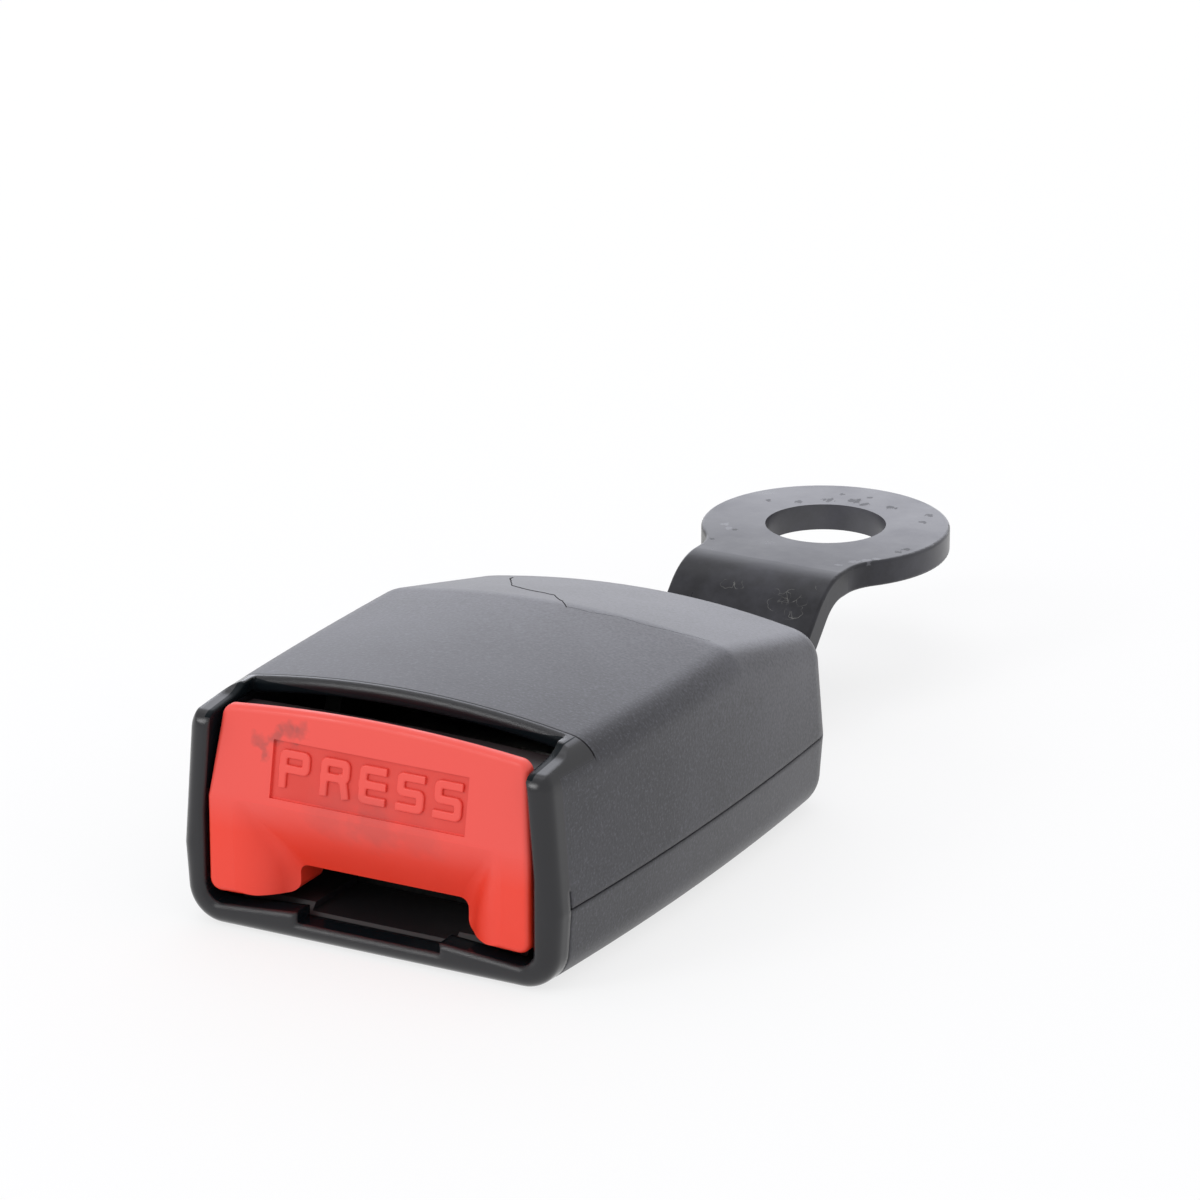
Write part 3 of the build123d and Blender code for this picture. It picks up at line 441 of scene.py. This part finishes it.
def makeStrapPaint(s):
    material, tree, output, place = startMaterial("blackDippedPaint")
    peel = addNode(tree, "ShaderNodeTexNoise", {"Scale": 1 / (s["peel"] * mm), "Detail": 3.0},
                   {"Vector": place})
    cloud = addNode(tree, "ShaderNodeTexNoise",
                    {"Scale": 1 / (s["cloud"] * mm), "Detail": 5.0, "Roughness": 0.65},
                    {"Vector": place})
    drawn = addNode(tree, "ShaderNodeMapping", {"Scale": (1, 0.5, 1)}, {"Vector": place})
    flake = addNode(tree, "ShaderNodeTexNoise",
                    {"Scale": 1 / (s["flake"] * mm), "Detail": 4.0, "Roughness": 0.6},
                    {"Vector": drawn.outputs[0]})
    rub = addNode(tree, "ShaderNodeMapRange", {"From Min": 0.42, "From Max": 0.72},
                  {"Value": cloud.outputs[0]})
    base = addNode(tree, "ShaderNodeMix",
                   {"data_type": "RGBA", 6: hexColour(s["paint"]), 7: hexColour(s["worn"])},
                   {0: rub.outputs[0]})
    masks = {}
    for marks in ("chips", "scuffs"):  # each mark is the peaks of a rough noise round its place
        total = None
        for x, y, z, reach in s[marks]:
            away = addNode(tree, "ShaderNodeVectorMath",
                           {"operation": "DISTANCE", 1: (x * mm, y * mm, z * mm)},
                           {0: place})
            near = addNode(tree, "ShaderNodeMapRange",
                           {"From Min": 1.5 * reach * mm, "From Max": 0.0, "To Max": 0.5},
                           {"Value": away.outputs["Value"]})
            ragged = addNode(tree, "ShaderNodeMath", {"operation": "MULTIPLY_ADD", 1: 0.9},
                             {0: flake.outputs[0], 2: near.outputs[0]})
            mark = addNode(tree, "ShaderNodeMapRange", {"From Min": 0.7, "From Max": 0.78},
                           {"Value": ragged.outputs[0]}).outputs[0]
            total = mark if total is None else addNode(tree, "ShaderNodeMath", {"operation": "MAXIMUM"},
                                                       {0: total, 1: mark}).outputs[0]
        masks[marks] = total
    wave = addNode(tree, "ShaderNodeTexNoise", {"Scale": 1 / (s["wriggle"] * mm), "Detail": 2.0},
                   {"Vector": place})
    shift = addNode(tree, "ShaderNodeVectorMath", {"operation": "SUBTRACT", 1: (0.5, 0.5, 0.5)},
                    {0: wave.outputs["Color"]})
    bent = addNode(tree, "ShaderNodeVectorMath", {"operation": "MULTIPLY_ADD", 1: [s["bend"] * mm] * 3},
                   {0: shift.outputs[0], 2: place})
    hairs = None
    for x, y, z, radius in s["curls"]:
        away = addNode(tree, "ShaderNodeVectorMath", {"operation": "DISTANCE", 1: (x * mm, y * mm, z * mm)},
                       {0: bent.outputs[0]})
        off = addNode(tree, "ShaderNodeMath", {"operation": "SUBTRACT", 1: radius * mm},
                      {0: away.outputs["Value"]})
        side = addNode(tree, "ShaderNodeMath", {"operation": "ABSOLUTE"}, {0: off.outputs[0]})
        hair = addNode(tree, "ShaderNodeMapRange",
                       {"From Min": s["hair"] * mm, "From Max": 0.3 * s["hair"] * mm},
                       {"Value": side.outputs[0]}).outputs[0]
        hairs = hair if hairs is None else addNode(tree, "ShaderNodeMath", {"operation": "MAXIMUM"},
                                                   {0: hairs, 1: hair}).outputs[0]
    broken = addNode(tree, "ShaderNodeTexNoise", {"Scale": 1 / (s["gaps"] * mm), "Detail": 1.0},
                     {"Vector": place})
    kept = addNode(tree, "ShaderNodeMapRange", {"From Min": 0.42, "From Max": 0.62, "To Max": 0.6},
                   {"Value": broken.outputs[0]})
    scratched = addNode(tree, "ShaderNodeMath", {"operation": "MULTIPLY"}, {0: hairs, 1: kept.outputs[0]})
    thin = addNode(tree, "ShaderNodeMath", {"operation": "MULTIPLY", 1: 0.5}, {0: masks["scuffs"]})
    colour = base.outputs[2]
    for share, tint in ((masks["chips"], "chip"), (thin.outputs[0], "scuff"),
                        (scratched.outputs[0], "scratch")):
        colour = addNode(tree, "ShaderNodeMix", {"data_type": "RGBA", 7: hexColour(s[tint])},
                         {0: share, 6: colour}).outputs[2]
    spot = addNode(tree, "ShaderNodeSeparateXYZ", {}, {0: place})
    dusted = addNode(tree, "ShaderNodeMapRange",
                     {"From Min": s["dullEnd"] * mm, "From Max": s["sheenEnd"] * mm},
                     {"Value": spot.outputs["Y"]})
    colour = addNode(tree, "ShaderNodeMix",
                     {"data_type": "RGBA", "blend_type": "ADD", 7: hexColour(s["dust"])},
                     {0: dusted.outputs[0], 6: colour}).outputs[2]
    sheen = addNode(tree, "ShaderNodeMapRange",
                    {"From Min": s["dullEnd"] * mm, "From Max": s["sheenEnd"] * mm,
                     "To Min": s["dullSheen"], "To Max": s["fullSheen"]},
                    {"Value": spot.outputs["Y"]})  # the belt rubs the neck dull
    mirror = addNode(tree, "ShaderNodeMapRange", {"To Max": s["chipSheen"]},
                     {"Value": masks["chips"], "To Min": sheen.outputs[0]})
    gloss = addNode(tree, "ShaderNodeMapRange",
                    {"From Min": 0.3, "From Max": 0.7,
                     "To Min": s["roughness"] - 0.04, "To Max": s["roughness"] + 0.1},
                    {"Value": cloud.outputs[0]})
    pitted = addNode(tree, "ShaderNodeMath", {"operation": "MULTIPLY_ADD", 1: -s["pitting"]},
                     {0: masks["chips"], 2: peel.outputs[0]})
    bump = addNode(tree, "ShaderNodeBump", {"Distance": s["peelDepth"] * mm, "Strength": 0.5},
                   {"Height": pitted.outputs[0]})
    shader = addNode(tree, "ShaderNodeBsdfPrincipled", {"IOR": 1.5},
                     {"Base Color": colour, "Roughness": gloss.outputs[0], "Normal": bump.outputs[0],
                      "Specular IOR Level": mirror.outputs[0]})
    tree.links.new(shader.outputs[0], output.inputs["Surface"])
    return material


# black acetal, moulded smooth: a dull waxy black with a faint cloudiness

guidePlastic = {"dark": "151517", "pale": "222225", "roughness": 0.45, "cloud": 4.0, "relief": 0.02}


def makeGuidePlastic(s):
    material, tree, output, place = startMaterial("blackAcetal")
    cloud = addNode(tree, "ShaderNodeTexNoise", {"Scale": 1 / (s["cloud"] * mm), "Detail": 5.0},
                    {"Vector": place})
    colour = addNode(tree, "ShaderNodeMix",
                     {"data_type": "RGBA", 6: hexColour(s["dark"]), 7: hexColour(s["pale"])},
                     {0: cloud.outputs[0]})
    bump = addNode(tree, "ShaderNodeBump", {"Distance": s["relief"] * mm, "Strength": 0.4},
                   {"Height": cloud.outputs[0]})
    shader = addNode(tree, "ShaderNodeBsdfPrincipled", {"IOR": 1.48, "Roughness": s["roughness"]},
                     {"Base Color": colour.outputs[2], "Normal": bump.outputs[0]})
    tree.links.new(shader.outputs[0], output.inputs["Surface"])
    return material


# zinc plated pressed steel: grey with a faint spangle and the fine lines of the rolled sheet

platedSteel = {
    "dark": "7f807d", "pale": "b5b6b2", "roughness": 0.36,
    "spangle": 1.2, "line": 0.25, "relief": 0.01,
}


def makePlatedSteel(s, name="zincPlatedSteel"):
    material, tree, output, place = startMaterial(name)
    spangle = addNode(tree, "ShaderNodeTexVoronoi", {"Scale": 1 / (s["spangle"] * mm)}, {"Vector": place})
    tint = addNode(tree, "ShaderNodeSeparateColor", {}, {0: spangle.outputs["Color"]})
    stretch = addNode(tree, "ShaderNodeMapping", {"Scale": (1, 0.06, 1)}, {"Vector": place})
    lines = addNode(tree, "ShaderNodeTexNoise", {"Scale": 1 / (s["line"] * mm), "Detail": 3.0},
                    {"Vector": stretch.outputs[0]})
    both = addNode(tree, "ShaderNodeMix", {"data_type": "FLOAT", 0: 0.6},
                   {2: tint.outputs[0], 3: lines.outputs[0]})
    colour = addNode(tree, "ShaderNodeMix",
                     {"data_type": "RGBA", 6: hexColour(s["dark"]), 7: hexColour(s["pale"])},
                     {0: both.outputs[0]})
    gloss = addNode(tree, "ShaderNodeMapRange",
                    {"To Min": s["roughness"] - 0.08, "To Max": s["roughness"] + 0.12},
                    {"Value": both.outputs[0]})
    bump = addNode(tree, "ShaderNodeBump", {"Distance": s["relief"] * mm, "Strength": 0.4},
                   {"Height": lines.outputs[0]})
    shader = addNode(tree, "ShaderNodeBsdfPrincipled", {"Metallic": 1.0},
                     {"Base Color": colour.outputs[2], "Roughness": gloss.outputs[0], "Normal": bump.outputs[0]})
    tree.links.new(shader.outputs[0], output.inputs["Surface"])
    return material


# phosphated steel: the same sheet under a dark grey crystalline coat, which keeps the inside of the mouth dark

frameSteel = {
    "dark": "1e1f1f", "pale": "3b3c3b", "roughness": 0.5,
    "spangle": 0.5, "line": 0.3, "relief": 0.01,
}

# hard drawn spring wire: bright grey with drawing lines too fine to see, so they are drawn a little coarser

springWire = {
    "dark": "6c6b69", "pale": "a9a8a4", "roughness": 0.3,
    "spangle": 0.8, "line": 0.2, "relief": 0.01,
}

# nitrile rubber, cut from sheet: matt black with a trace of talc

padRubber = {"dark": "131313", "pale": "2a2a2a", "roughness": 0.8, "talc": 0.5, "relief": 0.03}


def makePadRubber(s):
    material, tree, output, place = startMaterial("nitrileRubber")
    talc = addNode(tree, "ShaderNodeTexNoise", {"Scale": 1 / (s["talc"] * mm), "Detail": 5.0},
                   {"Vector": place})
    colour = addNode(tree, "ShaderNodeMix",
                     {"data_type": "RGBA", 6: hexColour(s["dark"]), 7: hexColour(s["pale"])},
                     {0: talc.outputs[0]})
    bump = addNode(tree, "ShaderNodeBump", {"Distance": s["relief"] * mm, "Strength": 0.6},
                   {"Height": talc.outputs[0]})
    shader = addNode(tree, "ShaderNodeBsdfPrincipled", {"IOR": 1.52, "Roughness": s["roughness"]},
                     {"Base Color": colour.outputs[2], "Normal": bump.outputs[0]})
    tree.links.new(shader.outputs[0], output.inputs["Surface"])
    return material


housingFinish = makeHousingPlastic(housingPlastic)
buttonFinish = makeButtonPlastic(buttonPlastic, buttonPanel)
strapFinish = makeStrapPaint(strapPaint)
guideFinish = makeGuidePlastic(guidePlastic)
steelFinish = makePlatedSteel(platedSteel)
frameFinish = makePlatedSteel(frameSteel, "phosphatedSteel")
wireFinish = makePlatedSteel(springWire, "drawnSpringWire")
rubberFinish = makePadRubber(padRubber)

finishes = {
    "upper_cover": housingFinish,
    "lower_cover": housingFinish,
    "press_button": buttonFinish,
    "anchor_strap": strapFinish,
    "tongue_guide": guideFinish,
    "ejector": guideFinish,
    "buckle_frame": frameFinish,
    "frame_bridge": frameFinish,
    "frame_rivets": steelFinish,
    "latch": steelFinish,
    "latch_pin": steelFinish,
    "lock_bar": steelFinish,
    "ejector_rod": steelFinish,
    "button_spring_pegs": steelFinish,
    "cover_screws": steelFinish,
    "latch_pin_clips": wireFinish,
    "ejector_spring": wireFinish,
    "button_spring_left": wireFinish,
    "button_spring_right": wireFinish,
    "anti_rattle_pads": rubberFinish,
}
for nodeName, finish in finishes.items():
    node = nodes[nodeName]
    for materialSlot in node.material_slots:
        materialSlot.material = finish
print("stage: materials")

# the operating word in the recessed panel of the button, in plain rounded block letters of its own

buttonWord = {
    "rise": 0.33, "root": 0.1, "stroke": 0.88, "edge": 0.12, "fuse": 0.07, "soften": 3,
    "letterHeight": 3.95, "low": -1.72, "cornerRadius": 0.3,
    "starts": (-10.4, -5.65, -1.2, 3.1, 7.35), "widths": (3.5, 3.35, 3.1, 3.15, 3.2),
}

# strokes on a grid 2 wide and 4 high, from the lower left
letterStrokes = {
    "P": [[(0, 0), (0, 4), (2, 4), (2, 2), (0, 2)]],
    "R": [[(0, 0), (0, 4), (2, 4), (2, 2), (0, 2)], [(1.5, 2), (1.8, 1.5), (2, 0)]],
    "E": [[(2, 4), (0, 4), (0, 0), (2, 0)], [(0, 2), (2, 2)]],
    "S": [[(2, 4), (0, 4), (0, 2), (2, 2), (2, 0), (0, 0)]],
}


def newCurve(points, closed):
    bpy.ops.curve.primitive_nurbs_path_add()
    piece = bpy.context.object
    piece.data.splines.clear()
    spline = piece.data.splines.new("POLY")
    spline.points.add(len(points) - 1)
    for point, spot in zip(spline.points, points):
        point.co = (*spot, 1)
    spline.use_cyclic_u = closed
    return piece


def strokeProfile(s, recess):  # the section of a stroke: as wide as the stroke, with eased edges
    half = s["stroke"] / 2
    edge = s["edge"]
    deep = recess + s["root"]
    profile = newCurve([(-half, -deep, 0), (half, -deep, 0), (half, -edge, 0), (half - edge, 0, 0),
                        (-half + edge, 0, 0), (-half, -edge, 0)], True)
    profile.data.dimensions = "2D"
    return profile


def strokePoints(points, s, start, width):  # the stroke's middle line, with rounded corners
    half = s["stroke"] / 2
    across = (width - s["stroke"]) / 2
    upward = (s["letterHeight"] - s["stroke"]) / 4
    flat = [Vector((start + half + x * across, s["low"] + half + y * upward)) for x, y in points]
    flat[0] += (flat[0] - flat[1]).normalized() * half  # square ends reach half a stroke further
    flat[-1] += (flat[-1] - flat[-2]).normalized() * half
    soft = [flat[0]]
    for before, corner, after in zip(flat, flat[1:], flat[2:]):
        into = corner + (before - corner).normalized() * s["cornerRadius"]
        out = corner + (after - corner).normalized() * s["cornerRadius"]
        for t in (0, 0.25, 0.5, 0.75, 1):
            soft.append(into.lerp(corner, t).lerp(corner.lerp(out, t), t))
    return soft + [flat[-1]]


def makeButtonWord(s, panel, letters, finish):
    profile = strokeProfile(s, panel["recess"])
    strokes = []
    for letter, start, width in zip("PRESS", s["starts"], s["widths"]):
        for points in letters[letter]:
            deselect()
            stroke = newCurve([(p.x, p.y, 0) for p in strokePoints(points, s, start, width)], False)
            stroke.data.bevel_mode = "OBJECT"
            stroke.data.bevel_object = profile
            stroke.data.use_fill_caps = True
            strokes.append(stroke)
    deselect()
    for stroke in strokes:
        stroke.select_set(True)
    bpy.context.view_layer.objects.active = strokes[0]
    bpy.ops.object.convert(target="MESH")
    bpy.ops.object.join()
    word = bpy.context.object
    word.name = "buttonWord"
    bpy.data.objects.remove(profile)
    bpy.ops.object.mode_set(mode="EDIT")
    bpy.ops.mesh.select_all(action="SELECT")
    bpy.ops.mesh.remove_doubles(threshold=0.001)
    bpy.ops.mesh.normals_make_consistent(inside=False)
    bpy.ops.object.mode_set(mode="OBJECT")
    fuse = word.modifiers.new("fuse", "REMESH")  # the strokes of a letter run into one another
    fuse.mode = "VOXEL"
    fuse.voxel_size = s["fuse"]
    bpy.ops.object.modifier_apply(modifier=fuse.name)
    soften = word.modifiers.new("soften", "SMOOTH")
    soften.factor = 0.5
    soften.iterations = s["soften"]
    bpy.ops.object.modifier_apply(modifier=soften.name)
    middle, facing = panelPlace(panel)
    word.scale = (mm, mm, mm)
    word.location = (middle - facing * (panel["recess"] - s["rise"])) * mm
    word.rotation_euler = (math.radians(90 - panel["lean"]), 0, 0)
    settle(word)
    word.data.materials.clear()
    word.data.materials.append(finish)
    word.select_set(True)
    bpy.context.view_layer.objects.active = word
    bpy.ops.object.shade_smooth()
    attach(word, "button")
    deselect()


makeButtonWord(buttonWord, buttonPanel, letterStrokes, buttonFinish)
print("stage: operating word")

# an old hairline crack that climbs the rear slope of the upper cover and fades out along the ridge

crack = {
    "path": [(-14.4, -46.4, 9.0), (-13.7, -48.0, 9.3), (-12.1, -50.7, 9.9), (-9.6, -55.0, 10.8),
             (-7.5, -56.5, 11.2), (-5.7, -57.6, 11.5), (-4.6, -57.9, 11.5), (-2.6, -58.6, 11.7),
             (-0.4, -61.3, 12.3), (1.6, -63.4, 12.6)],
    "fading": [(1.6, -63.4, 12.6), (4.4, -63.5, 12.7), (7.4, -63.0, 12.7), (11.0, -63.2, 12.7),
               (14.6, -62.6, 12.6), (17.6, -61.6, 12.3)],
    "thickness": 0.055, "faint": 0.012, "cuts": 3, "ragged": 0.16,
    # the dark and pale colours of the crack are painted shade of its gap
    "dark": "0a0a0b", "pale": "2c2a2a", "mottle": 0.2, "roughness": 0.95, "sheen": 0.05,
}


def makeCrackShade(s):  # painted shade of the crack's thin gap: black and quite dull
    material, tree, output, place = startMaterial("crackShade")
    mottle = addNode(tree, "ShaderNodeTexNoise", {"Scale": 1 / (s["mottle"] * mm), "Detail": 3.0},
                     {"Vector": place})
    colour = addNode(tree, "ShaderNodeMix",
                     {"data_type": "RGBA", 6: hexColour(s["dark"]), 7: hexColour(s["pale"])},
                     {0: mottle.outputs[0]})
    shader = addNode(tree, "ShaderNodeBsdfPrincipled",
                     {"Roughness": s["roughness"], "Specular IOR Level": s["sheen"]},
                     {"Base Color": colour.outputs[2]})
    tree.links.new(shader.outputs[0], output.inputs["Surface"])
    return material


def makeCrack(s, finish):
    for name, spots, thickness in (("coverCrack", s["path"], s["thickness"]),
                                   ("coverCrackEnd", s["fading"], s["faint"])):
        deselect()
        line = newCurve([(x * mm, y * mm, z * mm) for x, y, z in spots], False)
        line.name = name
        bpy.ops.object.convert(target="MESH")
        bpy.ops.object.mode_set(mode="EDIT")
        bpy.ops.mesh.select_all(action="SELECT")
        bpy.ops.mesh.subdivide(number_cuts=s["cuts"])
        bpy.ops.transform.vertex_random(offset=s["ragged"] * mm, seed=4)
        bpy.ops.object.mode_set(mode="OBJECT")
        onto = line.modifiers.new("onto", "SHRINKWRAP")
        onto.target = bpy.data.objects["upper_cover"]
        bpy.ops.object.modifier_apply(modifier=onto.name)
        bpy.ops.object.convert(target="CURVE")
        line.data.bevel_depth = thickness * mm
        line.data.bevel_resolution = 1
        line.data.use_fill_caps = True
        bpy.ops.object.convert(target="MESH")
        line.data.materials.append(finish)
        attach(line, "anchor")
        deselect()


makeCrack(crack, makeCrackShade(crack))
print("stage: crack in the upper cover")

# cross recessed screws that join the covers, in place of the plain ones

coverScrew = {
    "x": 14.2, "depth": 52.0, "headLow": 0.7, "headHigh": 2.5, "top": 14.0,
    "headRadius": 2.2, "shankRadius": 1.25, "easing": 0.12,
    "wing": 1.25, "wingWidth": 0.55, "recess": 1.1, "taper": 0.55,
    "sunk": 0.1, "threadDepth": 0.22, "threads": 14, "point": 1.0, "pointShare": 0.3,
}


def makeScrew(s, finish):  # the left one
    middle = Vector((-s["x"], mouthY + s["depth"], 0)) * mm
    headFace = middle + Vector((0, 0, floorZ + s["headLow"])) * mm
    deselect()
    bpy.ops.mesh.primitive_cylinder_add(
        vertices=48, radius=s["headRadius"] * mm, depth=(s["headHigh"] - s["headLow"]) * mm,
        location=middle + Vector((0, 0, floorZ + (s["headLow"] + s["headHigh"]) / 2)) * mm)
    head = bpy.context.object
    head.name = "coverScrewLeft"
    settle(head)
    deselect()
    bpy.ops.mesh.primitive_cube_add(
        size=1, scale=(2 * s["wing"] * mm, s["wingWidth"] * mm, 2 * s["recess"] * mm), location=headFace)
    cross = bpy.context.object
    bpy.ops.object.mode_set(mode="EDIT")
    bpy.ops.mesh.select_mode(type="FACE")
    bpy.ops.mesh.select_all(action="SELECT")
    bpy.ops.mesh.duplicate()
    bpy.ops.transform.rotate(value=math.radians(90), orient_axis="Z", center_override=headFace)
    bpy.ops.object.mode_set(mode="OBJECT")
    settle(cross)
    for corner in cross.data.vertices:  # the recess narrows towards its bottom
        if corner.co.z > headFace.z:
            corner.co.x = middle.x + (corner.co.x - middle.x) * s["taper"]
            corner.co.y = middle.y + (corner.co.y - middle.y) * s["taper"]
    head.select_set(True)
    bpy.context.view_layer.objects.active = head
    cut = head.modifiers.new("cut", "BOOLEAN")
    cut.object = cross
    cut.solver = "EXACT"
    cut.use_self = True
    bpy.ops.object.modifier_apply(modifier=cut.name)
    bpy.data.objects.remove(cross)
    rounded = head.modifiers.new("rounded", "BEVEL")
    rounded.width = s["easing"] * mm
    rounded.segments = 2
    rounded.limit_method = "ANGLE"
    rounded.angle_limit = math.radians(50)
    rounded.use_clamp_overlap = True
    bpy.ops.object.modifier_apply(modifier=rounded.name)
    deselect()
    pitch = (s["top"] - s["headHigh"] - s["point"]) / s["threads"]
    bpy.ops.mesh.primitive_circle_add(
        vertices=24, radius=(s["shankRadius"] - s["threadDepth"]) * mm,
        location=middle + Vector((0, 0, floorZ + s["headHigh"] - s["sunk"])) * mm)
    shank = bpy.context.object
    bpy.ops.object.mode_set(mode="EDIT")
    bpy.ops.mesh.select_all(action="SELECT")
    wide = s["shankRadius"] / (s["shankRadius"] - s["threadDepth"])
    for turn in range(s["threads"]):
        for grow in (wide, 1 / wide):  # out to the crest and back to the root
            bpy.ops.mesh.extrude_region_move(TRANSFORM_OT_translate={"value": (0, 0, pitch / 2 * mm)})
            bpy.ops.transform.resize(value=(grow, grow, 1))
    bpy.ops.mesh.extrude_region_move(TRANSFORM_OT_translate={"value": (0, 0, s["point"] * mm)})
    bpy.ops.transform.resize(value=(s["pointShare"], s["pointShare"], 1))
    bpy.ops.mesh.edge_face_add()
    bpy.ops.object.mode_set(mode="OBJECT")
    settle(shank)
    head.select_set(True)
    shank.select_set(True)
    bpy.context.view_layer.objects.active = head
    bpy.ops.object.join()
    bpy.ops.object.shade_smooth_by_angle(angle=math.radians(35))
    head.data.materials.clear()
    head.data.materials.append(finish)
    return head


def copyScrew(s, left):  # the right one, with its own mesh
    deselect()
    left.select_set(True)
    bpy.context.view_layer.objects.active = left
    bpy.ops.object.duplicate_move(OBJECT_OT_duplicate={"linked": False},
                                  TRANSFORM_OT_translate={"value": (2 * s["x"] * mm, 0, 0)})
    right = bpy.context.object
    right.name = "coverScrewRight"
    settle(right)
    return right


leftScrew = makeScrew(coverScrew, steelFinish)
for screw in (leftScrew, copyScrew(coverScrew, leftScrew)):
    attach(screw, "anchor")
    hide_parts("cover_screws")
deselect()
print("stage: cover screws")

# the springs shorten as the button and the ejector come back; each is copied, merged and smooth shaded in place
# of its node

springEnds = {
    "moving": {"button_spring_left": "button", "button_spring_right": "button", "ejector_spring": "ejector"},
    "seat": 0.5,  # how much of each end lies flat on its seat
    "merge": 0.001,
}


def makeLiveSpring(name, s, finish):
    node = bpy.data.objects[name]
    spring = bpy.data.objects.new("live_" + name, node.data.copy())
    scene.collection.objects.link(spring)
    deselect()
    spring.select_set(True)
    bpy.context.view_layer.objects.active = spring
    bpy.ops.object.mode_set(mode="EDIT")
    bpy.ops.mesh.select_all(action="SELECT")
    bpy.ops.mesh.remove_doubles(threshold=s["merge"] * mm)
    bpy.ops.object.mode_set(mode="OBJECT")
    bpy.ops.object.shade_smooth_by_angle(angle=math.radians(60))
    spring.data.materials.clear()
    spring.data.materials.append(finish)
    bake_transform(spring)
    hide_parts(name)
    deselect()


for springName, movingBody in springEnds["moving"].items():
    makeLiveSpring(springName, springEnds, wireFinish)
print("stage: springs")
